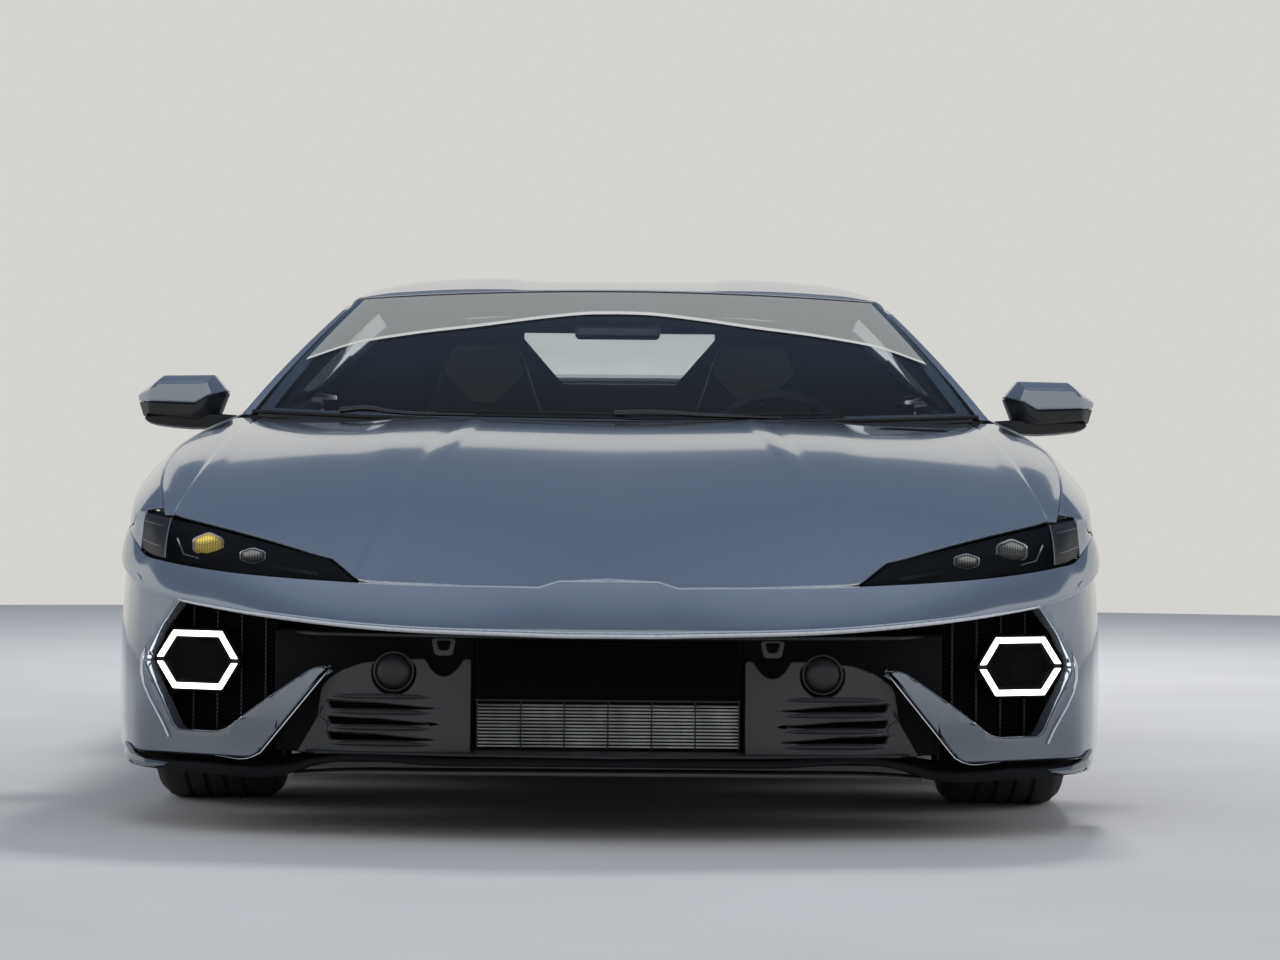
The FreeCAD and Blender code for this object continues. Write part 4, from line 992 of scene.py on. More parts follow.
def cheek_surface():
    """The cheek's plan curve with its lengths, as functions: (s, z) to a point, and x to s."""
    curve = cheek_curve()
    run = [0.0]
    for a, b in zip(curve, curve[1:]):
        run.append(run[-1] + (b - a).length)

    def place(s, z):
        k = max(i for i in range(len(run) - 1) if run[i] <= max(s, 0) or i == 0)
        t = (s - run[k]) / (run[k + 1] - run[k])
        p = curve[k].lerp(curve[k + 1], t)
        d = curve[k + 1] - curve[k]
        out = V((d.y, -d.x, 0)).normalized()
        flank = min(max((s - run[-1] * 0.42) / 0.2, 0), 1)
        bulge = 0.008 * (1 - ((z - 0.33) / 0.2) ** 2) * flank
        return V((p.x, p.y, z)) + out * (bulge - 0.008 * (z - 0.14) / 0.4)

    def along(x):
        k = next((i for i in range(len(curve) - 1) if curve[i + 1].x >= x), len(curve) - 2)
        return run[k] + (run[k + 1] - run[k]) * (x - curve[k].x) / (curve[k + 1].x - curve[k].x)
    return place, along, run[-1]


def build_cheeks():
    place, along, end = cheek_surface()
    face = rounded([(along(x * MM), z * MM) for x, z in CHEEK_FACE], [r * MM for r in CHEEK_SOFT])
    # round the side to the wheel arch, down its edge and back along the foot
    flank = [(along(0.842), 0.47), (along(0.93), 0.49)]
    s = along(0.93)
    arch = []
    while s < end:
        p = place(s, 0.4)
        lip_z = next((q.z for q in spline(BAND_LIP, 4) if q.y >= p.y and q.x > 0.8), 0.53)
        edge = arch_height(FRONT, p.y)
        if edge is not None and edge > 0.5:
            break
        flank.append((s, lip_z + 0.012))
        s += 0.03
    for i in range(15):
        angle = radians(150 + 31 * i / 14)         # down the arch's front edge
        y = F + FRONT["arch"] * cos(angle)
        z = FRONT["r"] + FRONT["arch"] * sin(angle)
        arch.append((end + (y - place(end, 0.3).y), z))
    foot = [(arch[-1][0], 0.147), (along(0.68), 0.149)]
    corner = rounded([arch[-1], *foot, face[0]], [0, 0.006, 0.022, 0])
    outline = face + flank + arch[:-1] + corner[1:-1]
    for side, tag in SIDES:
        sheet = sliced_sheet(f"cheek_{tag}", outline, lambda s, z: sided(place(s, z), side), 0.02,
            (0, -1, 0))
        panel(sheet, (0.034, 0.005, 40), PAINT)
    # painted glint: pale tubes along the inner wing's lower edge and beside the opening
    for side in (1, -1):
        foot = [place(along(x * MM), z * MM) for x, z in ((541, 316), (612, 228), (667, 160), (684, 151),
            (760, 150))]
        foot = [sided(p - Y * 0.0008, side) for p in spline(foot, 6, (1, 2))]
        tube(f"cheek_glint_{side}", foot, [0.0008] + [0.0019] * (len(foot) - 8)
            + [0.0014, 0.0013, 0.0011, 0.0009, 0.0007, 0.0005, 0.0004], GLINT_STRIP)
        path = [place(along(x * MM), z * MM) for x, z in BLADE_GLINT]
        path = [sided(p - Y * 0.001, side) for p in spline(path, 6)]
        tube(f"cheek_blade_glint_{side}", path, [0.0035] * (len(path) - 4) + [0.003, 0.0022, 0.0014, 0.0006],
            GLINT_STRIP)


# ---- headlamps ----
LAMP_LOW = nose([(517, 130, 489), (424, 155, 487), (298, 198, 502), (157, 287, 523), (98, 360, 532),
    (65, 424, 543)])
LAMP_HIGH = nose([(513, 133, 492), (460, 222, 530), (313, 305, 566), (157, 390, 601), (98, 432, 613),
    (65, 470, 620)])
MARKER_X = 0.878  # the outer marker starts here


def build_headlamps():
    n = 10
    low, high = spline(LAMP_LOW, n), spline(LAMP_HIGH, n, (1,))
    inset = 0.0022
    lens, marker, back = [], [], []
    for a, b in zip(low, high):
        across = b - a
        if across.length > 0.01:
            a = a + across.normalized() * inset
            b = b - across.normalized() * inset
        row = bulged(a, b, 8, V((0.3, -0.8, 0.5)).normalized(), 0.006 * min(across.length / 0.06, 1)) + [b]
        (lens if a.x < MARKER_X else marker).append(row)
        deep = 0.012 if a.x > MARKER_X else 0.02
        sink = V((-0.3, 0.85, -0.35)).normalized() * deep
        over = across.normalized() * 0.014 if across.length > 0.01 else across * 0
        back.append([a - over * 0.6 + sink, b + over + sink, b + over + sink * 1.8,
            a - over * 0.6 + sink * 1.8])
    marker.insert(0, [p + X * 0.002 for p in lens[-1]])
    back.append([q + V((-0.006, 0.026, 0)) for q in back[-1]])
    for side, tag in SIDES:
        housing = lofted(f"headlamp_housing_{tag}", mirrored(back, side), MATT_BLACK)
        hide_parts(f"headlamp_{tag}")
        panel(sheet_mesh(f"headlamp_lens_{tag}", mirrored(lens, side), (0, -1, 1)), (0.003, 0.0006), LENS)
        panel(sheet_mesh(f"marker_{tag}", mirrored(marker, side), (0, -1, 1)), (0.003, 0.0006), SATIN_BLACK)
        for k in range(3):
            t = 0.25 + 0.25 * k
            path = [sided(row[0].lerp(row[-1], t) + V((0.001, -0.002, 0.002)), side)
                for row in marker[2:-1]]
            tube(f"marker_slat_{tag}_{k}", path, 0.0022, GLOSS_BLACK)
        edge = [sided(p + V((0, -0.001, 0.001)), side) for p in marker[0]]
        tube(f"marker_edge_{tag}", edge, 0.0012, STEEL)
        # main projector, second projector and the bright corner strip
        build_projector(f"projector_{tag}", sided((0.79, NOSE + 0.324, 0.555), side), 0.033, 0.024,
            AMBER if side < 0 else CLEAR_LAMP)
        build_projector(f"projector_small_{tag}", sided((0.696, NOSE + 0.262, 0.536), side), 0.027,
            0.015, CLEAR_LAMP)
        strip = [(0.852, NOSE + 0.334, 0.568), (0.838, NOSE + 0.322, 0.537), (0.806, NOSE + 0.302, 0.529)]
        tube(f"lamp_strip_{tag}", [sided(p, side) for p in spline(strip, 5, (1,))], 0.0018, CHROME)
        tip = [(0.56, NOSE + 0.176, 0.502), (0.61, NOSE + 0.2, 0.508), (0.65, NOSE + 0.22, 0.515)]
        tube(f"lamp_fin_{tag}", [sided(p, side) for p in spline(tip, 5)], 0.004, SATIN_BLACK)


def build_projector(name, place, wide, tall, mat):
    """A six-sided projector lens in a chrome ring, facing forwards."""
    rings = []
    for depth, k in ((0.02, 1.0), (-0.002, 1.0), (-0.004, 0.94), (-0.002, 0.86), (-0.01, 0.6),
            (-0.013, 0.25)):
        ring = [(a, k * (1 - 0.1 * cos(6 * a) * 0.5)) for a in circle(36)]
        rings.append([place + V((wide * r * cos(a), depth, tall * r * sin(a))) for a, r in ring])
    lofted(name + "_ring", rings[:4], CHROME, caps=False)
    lofted(name, rings[3:], mat)


# ---- hexagonal lamps ----
HEX = [(284, 331), (246, 393), (140, 393), (100, 331), (140, 270), (246, 270)]
CORNER_X0, CORNER_BEHIND, CORNER_SWEEP = 0.66, 0.3, 0.5
LAMP_AHEAD = 0.092


def hex_point(x, z, ahead):
    return V((x, NOSE + CORNER_BEHIND + (x - CORNER_X0) * CORNER_SWEEP - ahead, z))


def hex_ring(inset):
    """The lamp's outline, moved inwards by inset."""
    pts = [V((HALF - i * MM, z * MM, 0)) for i, z in HEX]
    mid = sum(pts, V()) / 6
    out = []
    for k, p in enumerate(pts):
        e0 = (p - pts[k - 1]).normalized()
        e1 = (pts[(k + 1) % 6] - p).normalized()
        n0, n1 = V((e0.y, -e0.x, 0)), V((e1.y, -e1.x, 0))
        n0 = n0 if n0.dot(mid - p) > 0 else -n0
        n1 = n1 if n1.dot(mid - p) > 0 else -n1
        out.append(p + (n0 + n1) * (inset / (1 + n0.dot(n1))))
    return out


def build_hex_lamps():
    gap = 0.0045
    outer, inner = hex_ring(0.0045), hex_ring(0.0158)

    def cut(ring, k, up):
        """Where the ring's edge from corner k towards its neighbour leaves the gap."""
        a = ring[k]
        b = ring[(k + (1 if (k == 0) == up else -1)) % 6]
        return a.lerp(b, gap / abs(b.y - a.y))
    for side, tag in SIDES:
        body = [[sided(hex_point(p.x, p.y, ahead), side) for p in hex_ring(inset)]
            for inset, ahead in ((0.0, 0.001), (0.0, LAMP_AHEAD - 0.008), (0.003, LAMP_AHEAD - 0.005),
            (0.019, LAMP_AHEAD - 0.005), (0.026, LAMP_AHEAD - 0.03), (0.034, LAMP_AHEAD - 0.034))]
        obj = lofted(f"hex_lamp_{tag}", body, MATT_BLACK, bevel=0.0008)
        if side > 0:
            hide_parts("hex_lamps")
        glass = [[sided(hex_point(p.x, p.y, LAMP_AHEAD - d), side) for p in hex_ring(inset)]
            for inset, d in ((0.019, 0.0075), (0.0205, 0.0055), (0.03, 0.0045))]
        lofted(f"hex_lens_{tag}", glass, LENS)
        for up in (True, False):
            ks = (1, 2) if up else (5, 4)
            rings = []
            for o, i in ((cut(outer, 0, up), cut(inner, 0, up)), (outer[ks[0]], inner[ks[0]]),
                    (outer[ks[1]], inner[ks[1]]), (cut(outer, 3, up), cut(inner, 3, up))):
                mid = (o + i) / 2
                rings.append([sided(hex_point(q.x, q.y, LAMP_AHEAD - d), side)
                    for q, d in ((o, 0.008), (o, 0.001), (mid, -0.002), (i, 0.001), (i, 0.008))])
            lofted(f"light_guide_{tag}_{'upper' if up else 'lower'}", rings, WHITE_GLOW, bevel=0.0012)


# ---- corner radiators and intake ----
def slats(name, x0, x1, z0, z1, pitch, place, tall, deep, mat):
    """Thin level bars stacked between z0 and z1, joined into one piece. place(x, z) is on the face."""
    bm = bmesh.new()
    count = int((z1 - z0) / pitch)
    xs = steps(x0, x1, max(2, round(abs(x1 - x0) / 0.06)))
    for k in range(count):
        z = z0 + pitch * (k + 0.5)
        rings = []
        for x in xs:
            p = place(x, z)
            rings.append([bm.verts.new(p + V((0, dy, dz)))
                for dy, dz in ((0, -tall / 2), (-deep * 0.3, 0), (0, tall / 2), (deep, tall / 2),
                (deep, -tall / 2))])
        bridge(bm, rings)
        bm.faces.new(rings[0])
        bm.faces.new(rings[-1][::-1])
    bmesh.ops.recalc_face_normals(bm, faces=bm.faces)
    obj = finish_mesh(name, bm)
    obj.data.shade_flat()
    return dress(obj, mat)


def build_radiators():
    y = NOSE + 0.165
    core = block("radiator_core", (-0.256, y + 0.012, 0.1685), (0.256, y + 0.048, 0.3865), MATT_BLACK,
        bevel=0.001)
    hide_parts("radiators")
    slats("radiator_fins", -0.252, 0.252, 0.172, 0.262, 0.0066, lambda x, z: V((x, y, z)), 0.0034,
        0.01, FIN_METAL)
    slats("radiator_louvres", -0.252, 0.252, 0.268, 0.386, 0.008,
        lambda x, z: V((x, y - 0.03 + (z - 0.268) * 0.2, z)), 0.0022, 0.014, MATT_BLACK)
    tabs = [block(f"tab_{i}", (x - 0.0014, y - 0.0035, 0.17), (x + 0.0014, y + 0.004, 0.264),
        SATIN_BLACK, bevel=0.0004) for i, x in enumerate(steps(-0.252, 0.252, 6))]
    join("radiator_columns", tabs)
    block("radiator_rail", (-0.256, y - 0.012, 0.2625), (0.256, y + 0.014, 0.2675), SATIN_BLACK,
        bevel=0.0015)
    for side, tag in SIDES:
        def face(x, z):
            return sided(hex_point(abs(x), z, 0.012), side)
        slats(f"corner_bars_{tag}", 0.655 * side, 0.88 * side, 0.15, 0.44, 0.0085, face, 0.003,
            0.01, MATT_BLACK)
        ribs = []
        for x in (0.672, 0.722, 0.772, 0.822, 0.868):
            p = hex_point(x, 0, 0.01)
            ribs.append(block(f"rib_{x}", (side * (x - 0.002), p.y - 0.003, 0.15),
                (side * (x + 0.002), p.y + 0.012, 0.44), SATIN_BLACK, bevel=0.0005))
        join(f"corner_ribs_{tag}", ribs)
        rings = [[sided(hex_point(x, z, ahead), side) for x, z in ((0.65, 0.145), (0.65, 0.445),
            (0.885, 0.445), (0.885, 0.145))] for ahead in (-0.004, -0.03)]
        lofted(f"corner_core_{tag}", rings, MATT_BLACK, bevel=0.002)


DUCT = [(262, 161), (262, 345), (276, 345), (292, 322), (306, 312), (322, 312), (336, 322), (350, 345),
    (378, 345), (470, 338), (520, 318), (552, 292), (560, 230), (600, 161)]
DUCT_SOFT = [6, 8, 4, 12, 12, 12, 12, 4, 10, 30, 20, 16, 10, 8]


def duct_point(x, z):
    bow = 0.018 * sin(pi * min(max((x - 0.26) / 0.3, 0), 1))
    return V((x, NOSE + 0.118 - bow + max(x - 0.47, 0) * 0.35 + (z - 0.16) * 0.1, z))


def build_ducts():
    for side, tag in SIDES:
        def place(u, v):
            return sided(duct_point(u, v), side)
        outline = rounded([(x * MM, z * MM) for x, z in DUCT], [r * MM for r in DUCT_SOFT])
        holes = []
        eye = [(0.41 + 0.043 * cos(a), min(0.318 + 0.043 * sin(a), 0.3335)) for a in circle(32)]
        for k in range(3):
            z = 0.186 + 0.03 * k
            holes.append(rounded([(0.33, z + 0.004), (0.44, z - 0.001), (0.535, z + 0.002),
                (0.54, z + 0.016), (0.44, z + 0.014)], 0.004))
        holes.append([p for k, p in enumerate(eye) if k == 0
            or (V((*p, 0)) - V((*eye[k - 1], 0))).length > 0.002])
        panel(sliced_sheet(f"brake_duct_{tag}", outline, place, 0.02, (0, -1, 0), holes),
            (0.012, 0.003, 35), DUCT_GREY)
        for k in range(4):
            z = 0.178 + 0.03 * k
            path = [place(x, z + 0.003 * sin(3 * (x - 0.33) / 0.2))
                + V((0, 0.012 - 0.02 * sin(pi * (x - 0.31) / 0.25), 0.002))
                for x in steps(0.315, 0.552, 10)]
            rings = [beside(p, Y, ((0, -0.004), (-0.006, 0), (0, 0.004), (0.03, 0.006), (0.03, -0.002)))
                for p in path]
            lofted(f"duct_vane_{tag}_{k}", rings, DUCT_GREY, bevel=0.0015)
        # round sensor with its bezel, and the small bracket above the notch
        centre = place(0.41, 0.32) - Y * 0.006
        dome = [[centre + V((r * cos(a), u, r * sin(a))) for a in circle(40)]
            for u, r in ((-0.008, 0.014), (-0.002, 0.027), (0.006, 0.033), (0.03, 0.033))]
        lofted(f"sensor_{tag}", dome, SATIN_BLACK)
        ring = [centre + V((0.037 * cos(a), 0.008, 0.037 * sin(a))) for a in circle(40)]
        tube(f"sensor_bezel_{tag}", ring, 0.0028, SATIN_BLACK, closed=True)
        x = 0.313
        cup = rounded([(x - 0.024, 0.386), (x - 0.017, 0.352), (x + 0.017, 0.352),
            (x + 0.024, 0.386)], 0.008)
        hole = rounded([(x - 0.014, 0.381), (x - 0.009, 0.363), (x + 0.009, 0.363),
            (x + 0.014, 0.381)], 0.005)
        panel(sliced_sheet(f"tow_eye_{tag}", cup, lambda u, v: sided((u, NOSE + 0.085, v), side), 0.5,
            (0, -1, 0), [hole]), (0.012, 0.002), DUCT_GREY)
    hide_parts("intake_panel")
    # shelves above and below, and the wall behind
    for name, z0, z1, front in (("intake_shelf_top", 0.387, 0.395, 0.028),
            ("intake_shelf_low", 0.1603, 0.168, 0.03)):
        half = [(0, front), (0.3, 0.066), (0.56, 0.12), (0.64, 0.26)]
        plan = [(-x, y) for x, y in half[:0:-1]] + half
        rings = [[V((x, NOSE + y, z)) for x, y in plan] for z in (z0, z1)]
        lofted(name, rings, SATIN_BLACK, bevel=0.003)
    for side in (1, -1):
        block(f"intake_wall_{side}", (side * 0.258, NOSE + 0.205, 0.161),
            (side * 0.645, NOSE + 0.215, 0.394), MATT_BLACK)


# ---- splitter ----
SPLITTER = [(998, 16, 146, 160), (698, 40, 144, 158), (438, 92, 140, 154), (378, 108, 121, 138),
    (198, 190, 118, 136), (98, 285, 118, 136), (60, 330, 120, 138), (44, 385, 124, 141)]


def build_splitter():
    front = curve_of(nose([(i, b, (lo + hi) / 2) for i, b, lo, hi in SPLITTER]), 10)
    thick = curve_of(nose([(i, b, hi - lo) for i, b, lo, hi in SPLITTER]), 10)
    grid = []
    for k, (p, t) in enumerate(zip(front, thick)):
        out = outward(front, k)
        h = t.z / 2
        y1 = NOSE + 0.47
        edge = ((-0.03, h), (-0.008, h * 0.9), (-0.001, h * 0.4), (-0.001, -h * 0.4), (-0.008, -h * 0.9),
            (-0.03, -h))
        grid.append([(p.x, y1, p.z + h), *beside(p, out, edge), (p.x, y1, p.z - h)])
    obj = sheet_mesh("splitter_blade", grid, (0, -1, 0), closed=True)
    round_edges(obj, 0.001, 60)
    dress(obj, MATT_BLACK, "root", "splitter")
    # second, lower lip under the middle
    low = curve_of(nose([(998, 34, 133), (698, 58, 131), (458, 104, 126), (398, 120, 122)]), 8)
    grid = [beside(p, outward(low, k), ((-0.05, 0.006), (0, 0.004), (0, -0.004), (-0.05, -0.006)))
        for k, p in enumerate(low)]
    dress(sheet_mesh("splitter_lower_lip", grid, (0, -1, 0), closed=True), CARBON)
    # painted tips that turn up at the outer ends
    for side, tag in SIDES:
        rings = []
        for inside, behind, z0, z1, w in ((150, 240, 124, 132, 3), (98, 287, 122, 137, 6),
                (64, 330, 121, 147, 7), (44, 385, 121, 160, 6), (38, 440, 122, 167, 5),
                (37, 490, 124, 168, 3)):
            x, y = HALF - inside * MM, NOSE + behind * MM
            w = w * MM
            rings.append(((x - w, y + w, z0 * MM), (x - w * 0.6, y - w, z0 * MM),
                (x + w * 0.6 + 0.002, y - w, (z0 + z1) / 2 * MM), (x + w, y, z1 * MM),
                (x - w * 0.2, y + w, z1 * MM), (x - w, y + 2 * w, (z0 + z1) / 2 * MM)))
        lofted(f"splitter_tip_{tag}", mirrored(rings, side), PAINT, bevel=0.001)


# ---- windscreen and roof ----
SCREEN_BASE = (V((0.832, F + 0.481, 0.842)), V((0, F + 0.238, 0.818)))  # corner and middle
SCREEN_HEAD = (V((0.634, F + 1.061, 1.132)), V((0, F + 1.031, 1.154)))
SCREEN_BULGE = 0.08
# lower edge of the painted reflection band on the screen, across and up it
REFLECTION_BAND_FOOT = [(0, 0.8), (0.1, 0.796), (0.25, 0.765), (0.47, 0.7), (0.7, 0.635), (0.86, 0.56), (0.972, 0.43)]


def screen_point(u, v, lift=0.0):
    """A point of the screen: u from -1 to 1 across it, v from its base to its head."""
    ends = []
    for corner, middle in (SCREEN_BASE, SCREEN_HEAD):
        t = u * u
        ends.append(V((corner.x * u, middle.y + (corner.y - middle.y) * t,
            middle.z + (corner.z - middle.z) * t)))
    p = ends[0].lerp(ends[1], v)
    return p + V((0, -SCREEN_BULGE * 4 * v * (1 - v) - lift * 0.45, lift * 0.9))


def build_windscreen():
    us, vs = steps(-1, 1, 48), steps(0, 1, 20)
    panel(sheet_mesh("windscreen_glass", [[screen_point(u, v) for u in us] for v in vs], (0, -1, 1)),
        (0.005, 0.001), GLASS, "root", "windscreen")
    # painted reflection: a pale sheet over the screen's head and a brighter line along its foot, standing
    # in for the sky mirrored in the glass
    foot = mirror_path(spline([V((u, v, 0)) for u, v in REFLECTION_BAND_FOOT], 5))
    band = [[screen_point(p.x, p.y + (0.985 - p.y) * t, 0.0008) for p in foot] for t in steps(0, 1, 6)]
    dress(sheet_mesh("screen_painted_reflection_band", band, (0, -1, 1)), REFLECTION_BAND)
    edge = [[screen_point(p.x, p.y + 0.024 * t, 0.0014) for p in foot] for t in (0, 1)]
    dress(sheet_mesh("painted_reflection_band_edge", edge, (0, -1, 1)), REFLECTION_BAND_LINE)
    # black printed border under the glass, deeper round the sensor behind the mirror
    frit = []
    for u0, u1, v0, v1 in ((-0.995, -0.955, 0, 1), (0.955, 0.995, 0, 1), (-1, 1, 0.0, 0.055),
            (-1, 1, 0.95, 0.995), (-0.13, 0.13, 0.84, 0.96)):
        grid = [[screen_point(u, v, -0.0075) for u in steps(u0, u1, 24)] for v in steps(v0, v1, 12)]
        frit.append(dress(sheet_mesh("frit", grid, (0, -1, 1)), GLOSS_BLACK))
    join("screen_border", frit)
    # the base seal is rubber; the head seal is a pale strip of painted glint
    for tag, v, r, mat in (("base", 0.0, 0.0045, RUBBER), ("head", 1.0, 0.0022, GLINT_STRIP)):
        path = [screen_point(u, v, 0.001) for u in steps(-1, 1, 40)]
        tube(f"screen_seal_and_glint_{tag}", path, r, mat)
    # sun strip and the roof lining's front edge, seen through the glass
    grid = [[screen_point(u, 0.97, -0.012) + V((0, d, -d * 0.1)) for u in steps(-0.93, 0.93, 24)]
        for d in (0, 0.05, 0.12)]
    panel(sheet_mesh("header_lining", grid, (0, 0, -1)), (0.008,), TRIM)
    for side in (1, -1):
        visor = rounded([(side * 0.09, 0.0), (side * 0.5, 0.0), (side * 0.48, 0.115),
            (side * 0.12, 0.12)], 0.02)
        panel(sliced_sheet(f"sun_visor_{side}", visor,
            lambda u, w: V((u, F + 1.085 + w, 1.128 + w * 0.06 - abs(u) * 0.03)), 0.5, (0, 0, -1)),
            (0.012, 0.004), TRIM)


# roof: y after the front axle, height at the middle, then inside half width and height of
# channel edge, crown, cantrail and its foot
ROOF = rows(F, [
    (1003, 1150, 708, 1151, 438, 1139, 346, 1122, 334, 1098),
    (1343, 1193, 708, 1201, 478, 1190, 380, 1165, 358, 1132),
    (1643, 1184, 708, 1194, 483, 1180, 392, 1152, 366, 1116),
    (1925, 1142, 698, 1156, 498, 1140, 406, 1114, 376, 1078),
])


def roof_section(y):
    v = at(ROOF, y)
    edge = HALF - v[1]
    rise = v[2] - v[0]
    pts = [V((0, y, v[0])), V((edge - 0.055, y, v[0] + rise * 0.1)), V((edge - 0.02, y, v[2]))]
    pts += [V((HALF - v[i], y, v[i + 1])) for i in range(3, 9, 2)]
    return section(pts, (0.03, 0.03, 0.08, 0.02), (0.0, 0.0, 0.012, 0.02, 0.0), (8, 3, 10, 5, 3))


def lead(x):
    """Front edge of the roof skin over the screen's head."""
    t = min(abs(x) / SCREEN_HEAD[0].x, 1)
    return SCREEN_HEAD[1].y + 0.004 + (SCREEN_HEAD[0].y - SCREEN_HEAD[1].y) * t * t


def build_roof():
    end = R - 0.733
    start = roof_section(F + 1.05)
    rows_out = [mirror_path([roof_section(lead(p.x) + (end - lead(p.x)) * t)[j]
        for j, p in enumerate(start)]) for t in steps(0, 1, 30)]
    panel(sheet_mesh("roof_skin", rows_out, (0, 0, 1)), (0.022, 0.003), PAINT, "root", "roof")
    lining = [[p - Z * 0.024 for p in row[4:-4]] for row in rows_out[2:]]
    dress(sheet_mesh("roof_lining", lining, (0, 0, -1)), TRIM)
    (xb, yb), (xh, yh) = SCREEN_BASE[0].xy, SCREEN_HEAD[0].xy
    low = [(xb + 0.003, yb - 0.004), (xb + 0.029, yb + 0.01), (xb + 0.029, yb + 0.046),
        (xb - 0.01, yb + 0.046)]
    high = [(xh + 0.003, yh + 0.002), (xh + 0.032, yh + 0.014), (xh + 0.024, yh + 0.046),
        (xh - 0.016, yh + 0.046)]
    y0, y1 = DOOR_REAR, R - 0.765
    for side, tag in SIDES:
        rings = [[sided((a * (1 - v) + c * v, b * (1 - v) + d * v - SCREEN_BULGE * 4 * v * (1 - v),
            0.834 + 0.282 * v), side) for (a, b), (c, d) in zip(low, high)] for v in steps(0, 1, 16)]
        lofted(f"screen_pillar_{tag}", rings, PAINT, bevel=0.006)
        seal = [ring[0] - V((side * 0.001, 0.001, 0)) for ring in rings]
        tube(f"pillar_seal_{tag}", seal, 0.0035, RUBBER)
        inner = [[q + V((-side * (0.03 if k in (2, 3) else 0.016), 0.012, 0)) for k, q in enumerate(r)]
            for r in rings]
        lofted(f"pillar_trim_{tag}",
            [[r[3], r[2] - X * (side * 0.004), r[2] + V((-side * 0.014, 0.02, 0)),
            r[3] + V((-side * 0.02, 0.02, 0))] for r in inner], TRIM, bevel=0.003)
        rings = [((0.775, y0 + 0.03, 0.936), (0.806, y0 + 0.03, 0.936), (0.792, y1 + 0.032, 0.936),
            (0.76, y1 + 0.032, 0.936)), ((0.592, y0 + 0.012, 1.092), (0.62, y0 + 0.012, 1.092),
            (0.612, y1 + 0.03, 1.092), (0.58, y1 + 0.03, 1.092))]
        lofted(f"rear_pillar_{tag}", mirrored(rings, side), PAINT, bevel=0.004)
    # rear-view mirror on its stalk
    block("cabin_mirror", (-0.104, F + 1.03, 1.034), (0.104, F + 1.058, 1.078), GLOSS_BLACK, bevel=0.012)
    tube("cabin_mirror_stalk", [(0, F + 1.03, 1.075), (0, F + 0.985, 1.105), (0, F + 0.965, 1.112)],
        0.01, SATIN_BLACK)


# ---- side windows and mirrors ----
PANE_FOOT, PANE_HEAD = (0.862, 0.842), (0.64, 1.128)


def pane_x(z):
    return PANE_FOOT[0] + (PANE_HEAD[0] - PANE_FOOT[0]) * (z - PANE_FOOT[1]) / (PANE_HEAD[1] - PANE_FOOT[1])


def build_side_windows():
    sill = [(y, crest(y).z - 0.012) for y in steps(DOOR_FRONT + 0.014, DOOR_REAR - 0.016, 4)]
    head = [(DOOR_REAR - 0.024, 1.074), (R - 1.015, 1.1), (F + 1.343, 1.1145), (F + 1.15, 1.108),
        (F + 1.104, 1.096)]
    foot = (DOOR_FRONT + 0.014, 0.864)
    for k in range(9, 0, -1):
        v = k / 10
        head.append((foot[0] * (1 - v) + (F + 1.104) * v - SCREEN_BULGE * 4 * v * (1 - v) + 0.004,
            foot[1] * (1 - v) + 1.096 * v))
    outline = rounded(sill + head, 0.006, 3)
    for side, tag in SIDES:
        def place(y, z):
            return V((side * pane_x(z), y, z))
        panel(sliced_sheet(f"side_window_{tag}", outline, place, 0.05, (side, 0, 0.5)),
            (0.004, 0.0008), SIDE_GLASS, f"door_{tag}", f"door_glass_{tag}")
        edge = [place(y, z) + X * (side * 0.001) for y, z in rounded(head, 0.01)[3:-3]]
        tube(f"window_seal_{tag}", edge, 0.0028, RUBBER, f"door_{tag}")
        belt = [V((side * (crest(y).x - 0.014), y, crest(y).z - 0.001))
            for y in steps(DOOR_FRONT + 0.02, DOOR_REAR - 0.012, 24)]
        tube(f"belt_seal_{tag}", belt, 0.006, RUBBER, f"door_{tag}")


# corners of the mirrors' shells from ahead: x and height at the front and at the rear
MIRROR_TOP = [((0.942, 0.883), (0.908, 0.892)), ((0.953, 0.914), (0.939, 0.931)),
    ((1.071, 0.912), (1.06, 0.929)), ((1.088, 0.892), (1.121, 0.882)), ((1.091, 0.866), (1.119, 0.867)),
    ((0.978, 0.862), (0.985, 0.858))]
MIRROR_LOW = [((0.943, 0.882), (0.909, 0.89)), ((0.978, 0.861), (0.985, 0.857)),
    ((1.09, 0.865), (1.118, 0.866)), ((1.088, 0.842), (1.108, 0.832)), ((0.983, 0.832), (0.985, 0.82)),
    ((0.955, 0.85), (0.932, 0.83))]


